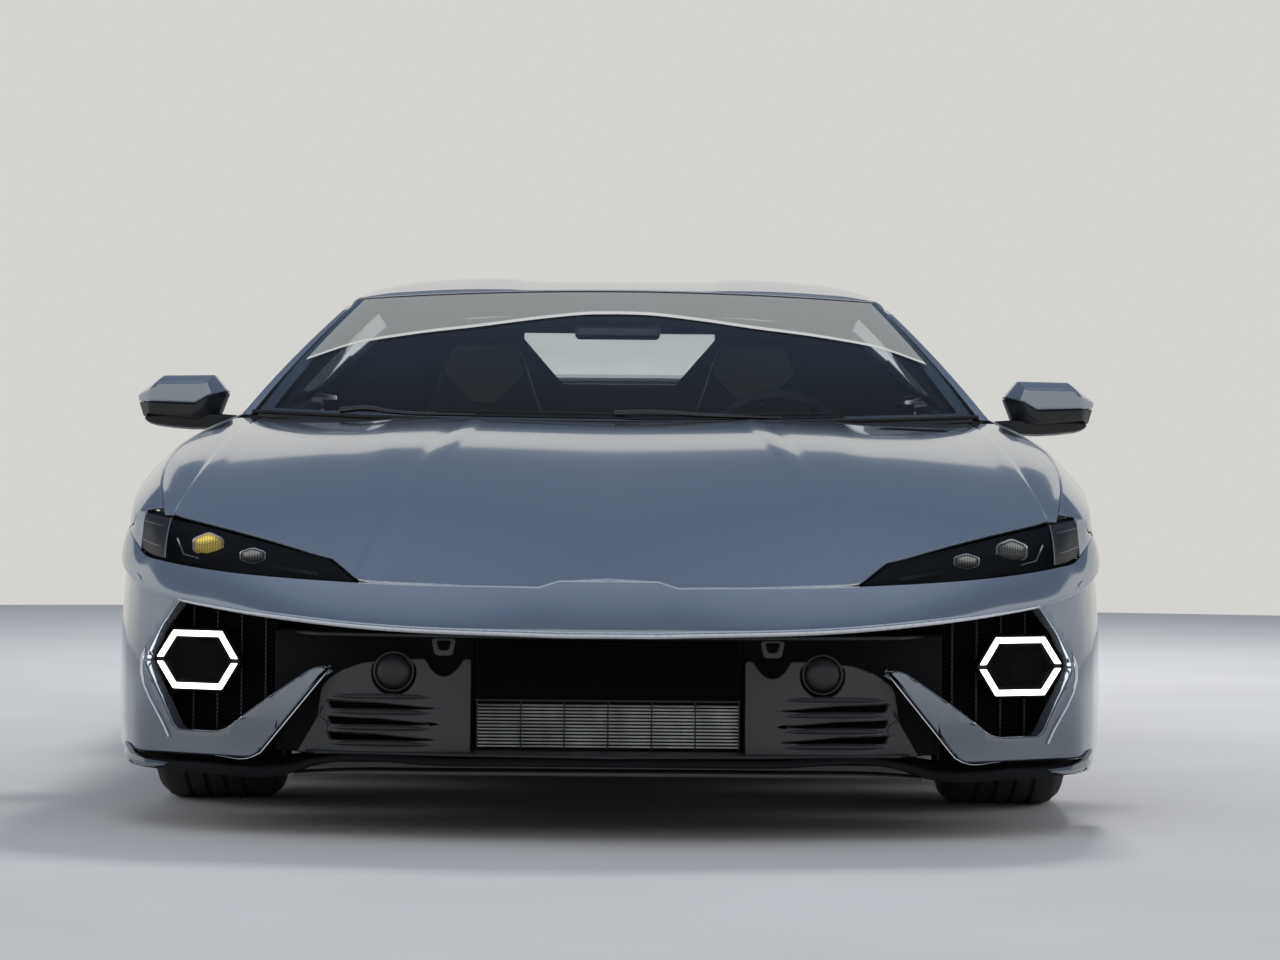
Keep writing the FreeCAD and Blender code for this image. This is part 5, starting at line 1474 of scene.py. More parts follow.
def build_mirrors():
    y0, y1 = F + 0.6, F + 0.73
    for side, tag in SIDES:
        for name, table, mat, mid in (("mirror_cap", MIRROR_TOP, PAINT, 0.885),
                ("mirror_base", MIRROR_LOW, SATIN_BLACK, 0.852)):
            rings = []
            for y, end, k in ((y0, 0, 0.86), (y0 + 0.004, 0, 1), (y0 + 0.045, 1, 0.97),
                    (y0 + 0.075, 1, 1), (y1, 1, 0.98)):
                rings.append([(1.02 + (x - 1.02) * k, y, mid + (z - mid) * k)
                    for x, z in (ends[end] for ends in table)])
            obj = lofted(f"{name}_{tag}", mirrored(rings, side), mat, f"door_{tag}", bevel=0.003)
            if name == "mirror_cap":
                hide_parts(f"mirror_{tag}")
        pane = rounded([(0.926, 0.886), (0.946, 0.918), (1.056, 0.916), (1.106, 0.876), (1.098, 0.842),
            (0.99, 0.834), (0.94, 0.842)], 0.012)
        glass = sliced_sheet(f"mirror_glass_{tag}", pane, lambda u, v: V((side * u, y1 + 0.0005, v)), 0.5,
            (0, 1, 0))
        dress(glass, CHROME, f"door_{tag}")
        arm = []
        for x, low, high in ((0.884, 0.806, 0.836), (0.915, 0.803, 0.838), (0.95, 0.803, 0.84),
                (0.99, 0.802, 0.838), (1.035, 0.805, 0.836), (1.075, 0.81, 0.836), (1.096, 0.816, 0.834),
                (1.1, 0.822, 0.83)):
            arm.append([(x, y0 + 0.036, low + 0.004), (x, y0 + 0.024, high - 0.004), (x, y0 + 0.03, high),
                (x, y1 - 0.04, high), (x, y1 - 0.032, high - 0.006), (x, y1 - 0.04, low)])
        lofted(f"mirror_arm_{tag}", mirrored(arm, side), SATIN_BLACK, f"door_{tag}", bevel=0.004)


# ---- door inside ----
def build_door_trims():
    y0, y1 = DOOR_FRONT + GAP, DOOR_REAR - GAP
    inner = 0.775
    for side, tag in SIDES:
        rings = []
        for y in steps(y0 + 0.001, y1 - 0.001, 16):
            line = side_line(y)
            taper = max(0, y - (y1 - 0.032)) / 0.032
            x_in = inner + taper * 0.1
            out = [(p.x - 0.007, y, p.z - (0.006 if k == 0 else 0)) for k, p in enumerate(line)]
            rings.append(out + [(x_in, y, line[-1].z + 0.002), (x_in, y, 0.62), (x_in + 0.012, y, 0.7),
                (x_in + 0.004, y, line[0].z - 0.012)])
        lofted(f"door_body_{tag}", mirrored(rings, side), TRIM, f"door_{tag}")
        x = inner - 0.001
        rest = rounded([(y0 + 0.3, 0.56), (y0 + 0.42, 0.62), (y1 - 0.2, 0.64), (y1 - 0.18, 0.6),
            (y0 + 0.44, 0.545)], 0.02)
        panel(sliced_sheet(f"arm_rest_{tag}", rest, lambda u, v: V((side * x, u, v)), 0.5, (-side, 0, 0)),
            (0.012, 0.004, 40), SATIN_BLACK, f"door_{tag}")
        pull = [(x - 0.002, y1 - 0.42, 0.69), (x - 0.01, y1 - 0.4, 0.7), (x - 0.01, y1 - 0.24, 0.71),
            (x - 0.002, y1 - 0.22, 0.7)]
        tube(f"door_pull_{tag}", [sided(p, side) for p in spline(pull, 4)], 0.006, CHROME, f"door_{tag}")


# ---- wipers ----
def build_wipers():
    def on_glass(x, up, lift):
        return screen_point(x / 0.8, up / 0.336, lift)
    for tag, x0, x1, up in (("right", -0.385, 0.04, 0.006), ("left", 0.01, 0.5, 0.004)):
        path = [on_glass(x, up, 0.007) for x in steps(x0, x1, 20)]
        tube(f"wiper_blade_{tag}", path, [0.002] + [0.0035] * 19 + [0.002], DARK_METAL)
        tube(f"wiper_rail_{tag}", [q + V((0, -0.002, 0.009)) for q in path], 0.0022, SATIN_BLACK)
    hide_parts("wipers")
    for tag, route in (("right", ((-0.6, 0.004, 0.01), (-0.54, 0.006, 0.016), (-0.49, 0.004, 0.012),
            (-0.3, 0.004, 0.01))), ("left", ((0.0, 0.008, 0.015), (0.07, 0.009, 0.017),
            (0.2, 0.005, 0.014), (0.36, 0.001, 0.01)))):
        arm = spline([on_glass(*q) for q in route], 6)
        tube(f"wiper_arm_{tag}", arm, [0.0075 - 0.0035 * k / (len(arm) - 1)
            for k in range(len(arm))], GLOSS_BLACK)
    # black cowl below the glass
    rings = [beside(screen_point(u, 0), Y, ((-0.03, -0.014), (-0.028, -0.006), (-0.002, -0.003),
        (0, -0.012))) for u in steps(-0.98, 0.98, 24)]
    lofted("cowl_trim", rings, SATIN_BLACK)


# ---- sills ----
def build_sills():
    y0, y1 = F + 0.412, R - 0.43
    for side, tag in SIDES:
        rings = []
        for k, y in enumerate(steps(y0, y1, 20)):
            kick = 0.012 * sin(pi * k / 20)
            x = 0.958 - 0.035 * max(0, 1 - k * 0.4)
            rings.append(((0.88, y, 0.266), (x - 0.016, y, 0.266), (x, y, 0.255), (x - 0.002, y, 0.205),
                (x + 0.004 + kick, y, 0.16), (x + 0.01 + kick, y, 0.14), (x + 0.006 + kick, y, 0.1235),
                (0.88, y, 0.1225)))
        lofted(f"side_skirt_{tag}", mirrored(rings, side), CARBON, bevel=0.002)
        end = [[(x, y, z) for x, z in ((0.952, 0.13), (0.972, 0.13), (0.98, 0.215), (0.96, 0.215))]
            for y in (y1 - 0.22, y1)]
        lofted(f"skirt_fin_{tag}", mirrored(end, side), GLOSS_BLACK, bevel=0.004)


# ---- side intakes ----
def quarter_x(y, z, least):
    """How far out the rear quarter lies at station y and height z, of its points beyond least."""
    return min(quarter_section(y), key=lambda p: abs(p.z - z) if p.x > least else 9).x


def build_side_intakes():
    y0 = QUARTER[0][0]
    for side, tag in SIDES:
        wall = [[sided((0.868 - 0.058 * (y - y0) / (R - 0.36 - y0), y, z), side)
            for z in steps(0.3, 0.856, 10)] for y in steps(y0 + 0.004, R - 0.372, 10)]
        panel(sheet_mesh(f"duct_wall_{tag}", wall, (side, 0, 0)), (0.008,), SATIN_BLACK)
        floor = [[sided((x, y, 0.305), side) for x in steps(x0, x1, 2)]
            for y, x0, x1 in ((y0 + 0.004, 0.866, 0.942), (R - 0.43, 0.815, 0.945),
            (R - 0.38, 0.808, 0.93))]
        panel(sheet_mesh(f"duct_floor_{tag}", floor, (0, 0, 1)), (0.008,), SATIN_BLACK)
        bars = []
        for z in steps(0.34, 0.82, 16):
            x = quarter_x(y0 + 0.06, z, 0.9) - 0.016
            bars.append(block(f"bar_{z:.3f}", (side * 0.862, y0 + 0.06, z - 0.002),
                (side * x, y0 + 0.075, z + 0.002), SATIN_BLACK, bevel=0.0008))
        join(f"side_intake_grille_{tag}", bars)
        blade = []
        for z in steps(0.3, 0.9, 24):
            y = y0 + 0.002 + 0.012 * sin(pi * (z - 0.3) / 0.6)
            x = quarter_x(y0, z, 0.84)
            blade.append(((x - 0.003, y - 0.001, z), (x - 0.014, y + 0.001, z), (x - 0.016, y + 0.05, z),
                (x - 0.008, y + 0.05, z)))
        lofted(f"intake_blade_{tag}", mirrored(blade, side), GLOSS_BLACK)
    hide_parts("side_ducts")


# ---- engine lid and tail deck ----
BACK = R - 0.765  # front face of the wall behind the seats
DECK = rows(BACK, [
    (60, 930, 950),
    (465, 926, 968),
    (965, 921, 958),
    (1495, 918, 925),
    (1733, 928, 930),
])
LID_START, LID_END = DECK[0][0], DECK[3][0]


def deck_row(y, gap, lift=0.0):
    side, middle = at(DECK, y)
    line = quarter_line(y)
    a, b = line[0], line[1]
    x = a.x + (b.x - a.x) * (side + lift - a.z) / (b.z - a.z) - gap
    pts = [V((-x, y, side)), V((-x * 0.55, y, middle)), V((x * 0.55, y, middle)), V((x, y, side))]
    pts = [p + Z * lift for p in pts]
    return section(pts, (0.09, 0.09), (0.0, 0.0, 0.0), (8, 16, 8))


def build_engine_lid():
    grid = [deck_row(y, 0.006) for y in steps(LID_START, LID_END, 36)]
    panel(sheet_mesh("lid_skin", grid, (0, 0, 1)), (0.012, 0.002), PAINT, "engine_lid", "engine_lid")
    # louvres over the engine bay, on a black base
    y0, y1 = LID_START + 0.1, LID_END - 0.52

    def across(y, half):
        """Steps across the louvres, which narrow from the half width given."""
        wide = half - 0.05 * (y - y0) / (y1 - y0)
        return steps(-wide, wide, 8)
    base = [[(x, y, at(DECK, y)[1] + 0.0015) for x in across(y, 0.27)] for y in steps(y0, y1, 12)]
    panel(sheet_mesh("louvre_base", base, (0, 0, 1)), (0.003, 0.001), SATIN_BLACK, "engine_lid")
    fins = []
    for k in range(9):
        y = y0 + 0.02 + (y1 - y0 - 0.05) * k / 8
        middle = at(DECK, y)[1]
        rings = [[V((x, y + dy + bend, middle + dz)) for dy, dz in ((-0.022, 0.003), (0.04, 0.024),
            (0.044, 0.021), (-0.018, 0.001))] for x, bend in zip(across(y, 0.262),
            [0.02 * (t * t - 1) for t in steps(-1, 1, 8)])]
        fins.append(lofted(f"louvre_{k}", rings, GLOSS_BLACK, "engine_lid"))
    join("lid_louvres", fins, "engine_lid")
    hinges = []
    for x in (0.22, -0.22):
        y, z = BACK + 0.046, 0.934
        hinges.append(tube(f"hinge_{x}", [(x - 0.02, y, z), (x + 0.02, y, z)], 0.0078,
            DARK_METAL, "engine_lid"))
        hinges.append(block(f"hinge_arm_{x}", (x - 0.018, y, z - 0.004),
            (x + 0.018, LID_START + 0.02, z + 0.004), DARK_METAL, "engine_lid"))
    join("lid_hinges", hinges, "engine_lid")


def build_rear_deck():
    grid = []
    for y, lift, short in ((LID_END + 0.006, 0, 0), (R + 0.8, 0.001, 0), (R + 0.86, 0.004, 0),
            (TAIL - 0.1, 0.01, 0.5), (TAIL - 0.058, 0.012, 0.9), (TAIL - 0.036, 0.006, 1),
            (TAIL - 0.026, -0.004, 1), (TAIL - 0.024, -0.022, 1)):
        row = deck_row(min(y, TAIL - 0.04), 0.001, lift)
        grid.append([V((p.x, y - short * (TAIL - 0.0235 - tail_point(p.x, 0.9).y), p.z)) for p in row])
    panel(sheet_mesh("tail_deck", grid, (0, 0, 1)), (0.014, 0.003), PAINT, "root", "rear_deck")


# ---- tail ----
def tail_point(x, z, out=0.0):
    """A point of the tail panel."""
    ahead = linear([(0, 0), (0.4, 0.004), (0.7, 0.018), (0.848, 0.036), (0.902, 0.05)], abs(x))
    tall = (z - 0.33) / 0.575
    return V((x, TAIL - ahead - 0.012 * tall - 0.001 - 0.01 * (2 * tall - 1) ** 2 + out, z))


TAIL_HEX = [(0.59, 0.765), (0.63, 0.815), (0.82, 0.8), (0.868, 0.752), (0.825, 0.705), (0.64, 0.712)]
EXHAUST = [(-0.12, 0.64), (-0.062, 0.7), (0.062, 0.7), (0.12, 0.64), (0.062, 0.58), (-0.062, 0.58)]


def shrunk(outline, by):
    cx = sum(p[0] for p in outline) / len(outline)
    cy = sum(p[1] for p in outline) / len(outline)
    reach = min(abs((x1 - x0) * (cy - y0) - (y1 - y0) * (cx - x0)) / hypot(x1 - x0, y1 - y0)
        for (x0, y0), (x1, y1) in zip(outline, outline[1:] + outline[:1]))
    k = 1 - by / reach
    return [(cx + (x - cx) * k, cy + (y - cy) * k) for x, y in outline]


def hex_rings(outline, levels, side=1):
    """Rings of an outline at (depth behind the tail panel, inset) pairs."""
    return [[sided(tail_point(x, z, -deep), side) for x, z in shrunk(outline, inset)]
        for deep, inset in levels]


def build_tail():
    outline = rounded([(0, 0.335), (0.62, 0.335), (0.8, 0.35), (0.894, 0.372), (0.902, 0.52),
        (0.911, 0.735), (0.888, 0.865), (0.79, 0.909), (0.64, 0.937), (0.562, 0.942), (0.536, 0.908),
        (0, 0.908)], [0, 0.03, 0.05, 0.04, 0.02, 0.03, 0.03, 0.03, 0.02, 0.008, 0.01, 0])
    full = outline + [(-x, z) for x, z in outline[::-1] if x > 1e-6]
    holes = [TAIL_HEX, [(-x, z) for x, z in TAIL_HEX], EXHAUST]
    panel(sliced_sheet("tail_panel", full, tail_point, 0.03, (0, 1, 0), holes), (0.024, 0.003, 40),
        PAINT, "root", "rear_bumper")
    for side, tag in SIDES:
        case = lofted(f"tail_lamp_case_{tag}", hex_rings(TAIL_HEX,
            ((0.08, 0.001), (0.004, 0.001), (0.003, 0.004), (0.012, 0.01), (0.03, 0.016)),
            side), GLOSS_BLACK)
        if side > 0:
            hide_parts("tail_lamps")
        n = len(TAIL_HEX)
        outer, inner = hex_rings(TAIL_HEX, ((0.008, 0.01), (0.01, 0.022)), side)
        rings = [[outer[k], outer[k] + Y * 0.004, (outer[k] + inner[k]) / 2 + Y * 0.006,
            inner[k] + Y * 0.004, inner[k]] for k in range(n)]
        lofted(f"tail_light_{tag}", rings + [rings[0]], RED_GLOW, caps=False)
        lofted(f"tail_lens_{tag}", hex_rings(TAIL_HEX, ((0.01, 0.022), (0.008, 0.024), (0.006, 0.04)),
            side), RED_LENS)
        mesh = rounded([(0.36, 0.45), (0.42, 0.4), (0.8, 0.42), (0.86, 0.5), (0.84, 0.6), (0.5, 0.62)],
            0.02)
        panel(sliced_sheet(f"tail_vent_{tag}", mesh, lambda u, v: sided(tail_point(u, v, 0.0015),
            side), 0.04, (0, 1, 0)), (0.004, 0.001), SATIN_BLACK)
        bars = []
        for z in steps(0.43, 0.6, 8):
            x0 = 0.372 + max(z - 0.45, 0.0) * 0.824
            x1 = 0.848 - max(0.5 - z, 0.0) * 0.75 - max(z - 0.5, 0.0) * 0.2
            path = [sided(tail_point(x, z, 0.004), side) for x in steps(x0, x1, 8)]
            bars.append(tube(f"vent_bar_{tag}_{z:.2f}", path, 0.0035, GLOSS_BLACK))
        join(f"tail_vent_bars_{tag}", bars)
    band = rounded([(-0.54, 0.79), (-0.5, 0.835), (0.5, 0.835), (0.54, 0.79), (0.48, 0.735),
        (-0.48, 0.735)], 0.012)
    panel(sliced_sheet("tail_grille", band, lambda u, v: tail_point(u, v, 0.0015), 0.05, (0, 1, 0)),
        (0.004, 0.001), SATIN_BLACK)
    cells = []
    for row in range(6):
        z = 0.747 + 0.0155 * row
        wide = 0.485 + (0.03 if z < 0.79 else 0.03 - (z - 0.79) * 0.9)
        path = [tail_point(x, z + 0.0035 * (1 if i % 2 else -1), 0.004)
            for i, x in enumerate(steps(-wide, wide, 60))]
        cells.append(tube(f"cell_{row}", path, 0.0016, GLOSS_BLACK, res=1))
    join("tail_grille_mesh", cells)
    lofted("exhaust_case", hex_rings(EXHAUST, ((0.16, 0.001), (-0.004, 0.001), (-0.006, 0.004),
        (-0.004, 0.008), (0.15, 0.01))), STEEL, caps=False)
    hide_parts("exhaust")
    back = hex_rings(EXHAUST, ((0.15, 0.009), (0.155, 0.009)))
    lofted("exhaust_back", back, SATIN_BLACK)
    for x in (-0.048, 0.048):
        pipe = turned(f"exhaust_pipe_{x}", [(0.0, 0.036), (0.01, 0.04), (0.14, 0.04), (0.14, 0.034),
            (0.012, 0.034)], STEEL, (0, 0, 0), "root", 48)
        pipe.data.transform(Matrix.Translation((x, TAIL - 0.01, 0.64)) @ Matrix.Rotation(radians(-90),
            4, "Z"))
    # plate recess without a plate, and the valance over the diffuser
    plate = rounded([(-0.27, 0.425), (-0.27, 0.545), (0.27, 0.545), (0.27, 0.425)], 0.01)
    panel(sliced_sheet("plate_panel", plate, lambda u, v: tail_point(u, v, 0.002), 0.1, (0, 1, 0)),
        (0.005, 0.002), SATIN_BLACK)
    y0, y1 = TAIL - 0.2, TAIL - 0.024
    rings = [[(x, y0, 0.265), (x, y1, 0.318), (x, y1 + 0.004, 0.34), (x, y0, 0.34)]
        for x in steps(-0.8, 0.8, 24)]
    lofted("diffuser_valance", rings, CARBON, bevel=0.002)


# ---- wheels ----
def tyre_profile(w):
    h, r, seat = w["w"] / 2, w["r"], w["rim"] + 0.0003
    bead, over, mid = h - 0.016, w["rim"] + 0.014, (w["r"] + w["rim"]) / 2 + 0.008
    side = [(bead, seat), (bead, over)]
    a, b, c = V((bead, over, 0)), V((h, mid, 0)), V((h - 0.012, r - 0.012, 0))
    for i in range(1, 11):
        t = i / 10
        p = bezier(a, b * 2 - (a + c) / 2, c, t)
        u, v = p.x, p.y
        if i == 3:
            side += [(u, v - 0.001), (u + 0.0015, v), (u + 0.0015, v + 0.002), (u, v + 0.003)]
        elif i < 10:
            side.append((u, v))
    side += [(h - 0.012, r - 0.012), (h - 0.019, r - 0.0045), (h - 0.03, r)]
    tread = []
    for g in (0.3, 0.1):
        x = (h - 0.03) * 2 * g
        tread += [(x + 0.005, r), (x + 0.004, r - 0.006), (x - 0.004, r - 0.006), (x - 0.005, r)]
    half = side + tread
    return half + [(-u, v) for u, v in half[::-1]]


def build_wheel(end, tag, w):
    side = 1 if tag == "left" else -1
    body = f"wheel_{end}_{tag}"
    place = V((w["x"] * side, w["y"], w["r"]))
    tyre = turned(f"tread_{end}_{tag}", tyre_profile(w), RUBBER, place, body, 144)
    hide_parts(f"tyre_{end}_{tag}")
    h, r = w["w"] / 2, w["rim"]

    def ring(name, profile, mat, segments=48, middle=place):
        return turned(name, [(u * side, v) for u, v in profile], mat, middle, body, segments)

    def at_wheel(radius, a):
        return place + V((0, radius * cos(a), radius * sin(a)))
    rim = [(end_u * h + u, r + v) for end_u, u, v in ((-1, 0.014, 0), (-1, 0.014, 0.011),
        (-1, 0.008, 0.011), (-1, 0.007, -0.004), (-1, 0.03, -0.01), (-1, 0.06, -0.026),
        (1, -0.06, -0.026), (1, -0.03, -0.014), (1, -0.01, -0.008), (1, -0.006, -0.003),
        (1, -0.006, 0.01), (1, -0.009, 0.012), (1, -0.014, 0.011), (1, -0.014, 0), (1, -0.05, -0.01),
        (-1, 0.05, -0.01))]
    barrel = ring(f"rim_{end}_{tag}", rim, ALLOY, 96)
    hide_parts(f"wheel_{end}_{tag}")
    spokes = []
    face = h - 0.014
    for k in range(10):
        pair = 3.5 if k % 2 else -3.5
        a = radians(36.0 * k + pair)
        out, across = V((0, -sin(a), cos(a))), V((0, cos(a), sin(a)))
        rings = []
        for t, u0, u1, half in ((0.055, -0.034, -0.01, 0.019), (0.1, -0.036, -0.014, 0.0125),
                (0.16, -0.032, -0.01, 0.0105), (r - 0.045, -0.028, -0.002, 0.01),
                (r - 0.02, -0.034, 0.001, 0.013), (r - 0.006, -0.04, 0.002, 0.018)):
            rings.append([place + out * t + across * (half * s) + X * ((face + u) * side)
                for u, s in ((u0, -0.8), (u1 - 0.006, -1.0), (u1, -0.55), (u1, 0.55), (u1 - 0.006, 1.0),
                (u0, 0.8))])
        spokes.append(lofted(f"spoke_{k}", rings, ALLOY, body, bevel=0.0015))
    hub = [(0.038, 0.0), (face - 0.012, 0.0), (face - 0.01, 0.03), (face - 0.016, 0.034),
        (face - 0.014, 0.058), (face - 0.02, 0.07), (0.038, 0.072)]
    spokes.append(ring("hub", hub, ALLOY))
    join(f"spokes_{end}_{tag}", spokes, body)
    cap = [(face - 0.012, 0.0), (face - 0.004, 0.0), (face - 0.005, 0.022), (face - 0.012, 0.027)]
    ring(f"hub_cap_{end}_{tag}", cap, DARK_METAL)
    bolt = [(face - 0.018, 0.0001), (face - 0.006, 0.0001), (face - 0.006, 0.0075), (face - 0.018, 0.0085)]
    bolts = [ring(f"bolt_{k}", bolt, STEEL, 6, at_wheel(0.047, a)) for k, a in enumerate(circle(5))]
    join(f"wheel_bolts_{end}_{tag}", bolts, body)
    disc = [(0.004, 0.0205), (0.036, 0.0205), (0.036, 0.085), (0.034, 0.09), (0.034, w["disc"]),
        (0.023, w["disc"]), (0.022, w["disc"] - 0.006), (0.018, w["disc"] - 0.006), (0.017, w["disc"]),
        (0.006, w["disc"]), (0.006, 0.09), (0.004, 0.085)]
    ring(f"brake_disc_{end}_{tag}", disc, STEEL, 96)
    hole = [(0.0335, 0.0001), (0.0346, 0.0001), (0.0346, 0.0038), (0.0335, 0.0038)]
    holes = [ring(f"hole_{k}", hole, SATIN_BLACK, 8, at_wheel(w["disc"] - (0.02, 0.04, 0.06)[k % 3], a))
        for k, a in enumerate(circle(48))]
    join(f"disc_holes_{end}_{tag}", holes, body)


def build_wheels():
    for tag in ("left", "right"):
        build_wheel("front", tag, FRONT)
        build_wheel("rear", tag, REAR)


# ---- seats ----
SEAT_X = 0.352


def pillow(name, rings, mat, body="root", levels=2):
    """A soft closed form through a few rings, rounded by subdivision."""
    obj = lofted(name, rings, mat, body)
    modify(obj, "soft", "SUBSURF", levels=levels, render_levels=levels)
    return obj


def oval(middle, across, along, wide, deep, n=12, square=0.55):
    """A rounded rectangle about middle, in the directions across and along."""
    ring = []
    for i in range(n):
        a = 2 * pi * (i + 0.5) / n
        c, s = cos(a), sin(a)
        c, s = copysign(abs(c) ** square, c), copysign(abs(s) ** square, s)
        ring.append(middle + across * (c * wide) + along * (s * deep))
    return ring


def build_seat(side, tag):
    x = SEAT_X * side
    spine = [(0.215, -0.3, 0.195, 0.05), (0.34, -0.262, 0.222, 0.052), (0.5, -0.24, 0.226, 0.05),
        (0.68, -0.212, 0.222, 0.048), (0.79, -0.2, 0.2, 0.045), (0.88, -0.19, 0.15, 0.04),
        (0.97, -0.18, 0.12, 0.036), (1.04, -0.172, 0.098, 0.03), (1.062, -0.17, 0.06, 0.018)]
    rings = [oval(V((x, BACK + y, z)), X, Y, wide, deep) for z, y, wide, deep in spine]
    back = pillow(f"seat_back_{tag}", rings, SEAT_BLACK)
    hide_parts(f"seat_{tag}")
    base = [(-0.76, 0.29, 0.205, 0.06), (-0.735, 0.3, 0.222, 0.078), (-0.6, 0.292, 0.228, 0.075),
        (-0.45, 0.272, 0.228, 0.07), (-0.33, 0.262, 0.222, 0.066), (-0.25, 0.262, 0.205, 0.06)]
    cushion = pillow(f"seat_cushion_{tag}", [oval(V((x, BACK + y, z)), X, Z, wide, deep)
        for y, z, wide, deep in base], SEAT_BLACK)
    for s in (1, -1):
        bolster = [(0.36, -0.33, 0.02), (0.44, -0.33, 0.034), (0.58, -0.308, 0.04), (0.7, -0.282, 0.034),
            (0.79, -0.25, 0.018)]
        rings = [oval(V((x + s * (0.178 if z < 0.7 else 0.165), BACK + y, z)), X, Y, deep * 0.9,
            deep * 1.3, 10, 0.8) for z, y, deep in bolster]
        pillow(f"back_bolster_{tag}_{s}", rings, SEAT_BLACK)
        thigh = [(-0.745, 0.35, 0.02), (-0.66, 0.366, 0.036), (-0.5, 0.352, 0.038), (-0.36, 0.338, 0.03),
            (-0.3, 0.325, 0.016)]
        rings = [oval(V((x + s * 0.18, BACK + y, z)), X, Z, deep, deep, 10, 0.8) for y, z, deep in thigh]
        pillow(f"thigh_bolster_{tag}_{s}", rings, SEAT_BLACK)
    # panels in the second colour: head, back and cushion, with welts between their flutes
    head = rounded([(-0.082, 1.045), (0.082, 1.045), (0.111, 0.975), (0.032, 0.893), (-0.032, 0.893),
        (-0.111, 0.975)], 0.012)

    def on_head(u, v):
        return V((x + u, BACK - 0.2195 + (1.045 - v) * -0.1 + 0.9 * u * u, v))
    panel(sliced_sheet(f"head_panel_{tag}", head, on_head, 0.02, (0, -1, 0)),
        (0.016, 0.005), OLIVE)
    edge = [on_head(u, v) - Y * 0.001 for u, v in head]
    tube(f"head_piping_{tag}", edge, 0.0022, SEAT_BLACK, closed=True)
    for k, u in enumerate((-0.078, -0.026, 0.026, 0.078)):
        rings = [oval(V((x + u, BACK - 0.286 + 0.13 * (z - 0.4), z)), X, Y, wide, deep, 8, 0.8)
            for z, wide, deep in ((0.42, 0.016, 0.01), (0.46, 0.026, 0.022), (0.62, 0.026, 0.022),
            (0.76, 0.024, 0.02), (0.83, 0.015, 0.008))]
        pillow(f"back_flute_{tag}_{k}", rings, OLIVE)
        rings = [oval(V((x + u, BACK + y, z)), X, Z, wide, deep, 8, 0.8)
            for y, z, wide, deep in ((-0.74, 0.352, 0.018, 0.008), (-0.7, 0.366, 0.026, 0.016),
            (-0.55, 0.358, 0.026, 0.016), (-0.4, 0.342, 0.025, 0.014), (-0.345, 0.33, 0.016, 0.006))]
        pillow(f"cushion_flute_{tag}_{k}", rings, OLIVE)
    # belt from the wall over the shoulder, and its buckle
    belt = [(x - side * 0.14, BACK - 0.02, 0.86), (x - side * 0.13, BACK - 0.15, 0.872),
        (x - side * 0.125, BACK - 0.262, 0.83)]
    path = spline(belt, 6)
    rings = [[p - X * 0.022, p + X * 0.022, p + V((0.022, 0.0, 0.0022)), p + V((-0.022, 0, 0.0022))]
        for p in path]
    lofted(f"belt_{tag}", rings, WEBBING)
    block(f"belt_buckle_{tag}", (x - side * 0.245 - 0.012, BACK - 0.42, 0.33),
        (x - side * 0.245 + 0.012, BACK - 0.39, 0.43), SATIN_BLACK, bevel=0.005)


# ---- dashboard ----
def build_dashboard():
    wall = F + 0.555
    half = 0.69
    rings = []
    for x in steps(-half, half, 36):
        hood = 0.03 * exp(-((x - 0.385) / 0.17) ** 2)
        mid = 0.012 * exp(-(x / 0.2) ** 2)
        rings.append([(x, wall + 0.002, 0.602), (x, wall + 0.002, 0.798), (x, F + 0.66, 0.806),
            (x, F + 0.73, 0.812 + hood * 0.2), (x, F + 0.8, 0.8 + hood), (x, F + 0.872, 0.786 + hood),
            (x, F + 0.884, 0.778 + hood), (x, F + 0.876, 0.76), (x, F + 0.896 + mid, 0.735),
            (x, F + 0.902 + mid, 0.7), (x, F + 0.885, 0.655), (x, F + 0.86, 0.612)])
    dash = lofted("dash_body", rings, TRIM)
    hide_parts("dashboard")
    seam = [V((x, F + 0.8845, 0.781 + 0.03 * exp(-((x - 0.385) / 0.17) ** 2)))
        for x in steps(-half, half, 48)]
    tube("dash_seam", seam, 0.0016, OLIVE)
    block("instrument_screen", (0.275, F + 0.872, 0.73), (0.495, F + 0.88, 0.806), SCREEN_OFF,
        bevel=0.003, turn=("X", -8))
    block("passenger_screen", (-0.52, F + 0.896, 0.705), (-0.28, F + 0.904, 0.742), SCREEN_OFF, bevel=0.003)
    for x in (-0.6, -0.11, 0.11, 0.6):
        ring = [V((x + 0.052 * cos(a) * (1.25 if i % 3 == 0 else 1.0), F + 0.905,
            0.735 + 0.024 * sin(a))) for i, a in enumerate(circle(6))]
        tube(f"vent_ring_{x}", ring, 0.004, GLOSS_BLACK, closed=True)
        fins = [block(f"fin_{x}_{k}", (x - 0.046, F + 0.898, 0.722 + 0.012 * k),
            (x + 0.046, F + 0.905, 0.725 + 0.012 * k), SATIN_BLACK, bevel=0.001) for k in range(3)]
        join(f"air_vent_{x}", fins)
    # console between the seats, on the tunnel
    rings = []
    for y, z, w in ((F + 0.86, 0.64, 0.15), (F + 0.98, 0.56, 0.12), (F + 1.15, 0.5, 0.108),
            (F + 1.5, 0.455, 0.106), (BACK - 0.05, 0.44, 0.106)):
        rings.append([(-w, y, 0.402), (-w, y, z - 0.02), (-w + 0.02, y, z), (w - 0.02, y, z),
            (w, y, z - 0.02), (w, y, 0.402)])
    lofted("console", rings, TRIM, bevel=0.005)
    block("centre_screen", (-0.105, F + 0.905, 0.585), (0.105, F + 0.915, 0.7), SCREEN_OFF,
        bevel=0.004, turn=("X", 22))
    knobs = [block(f"key_{k}", (-0.04, F + 1.13 + 0.07 * k, 0.498 - 0.01 * k),
        (0.04, F + 1.17 + 0.07 * k, 0.512 - 0.01 * k), GLOSS_BLACK, bevel=0.006) for k in range(4)]
    join("console_keys", knobs)


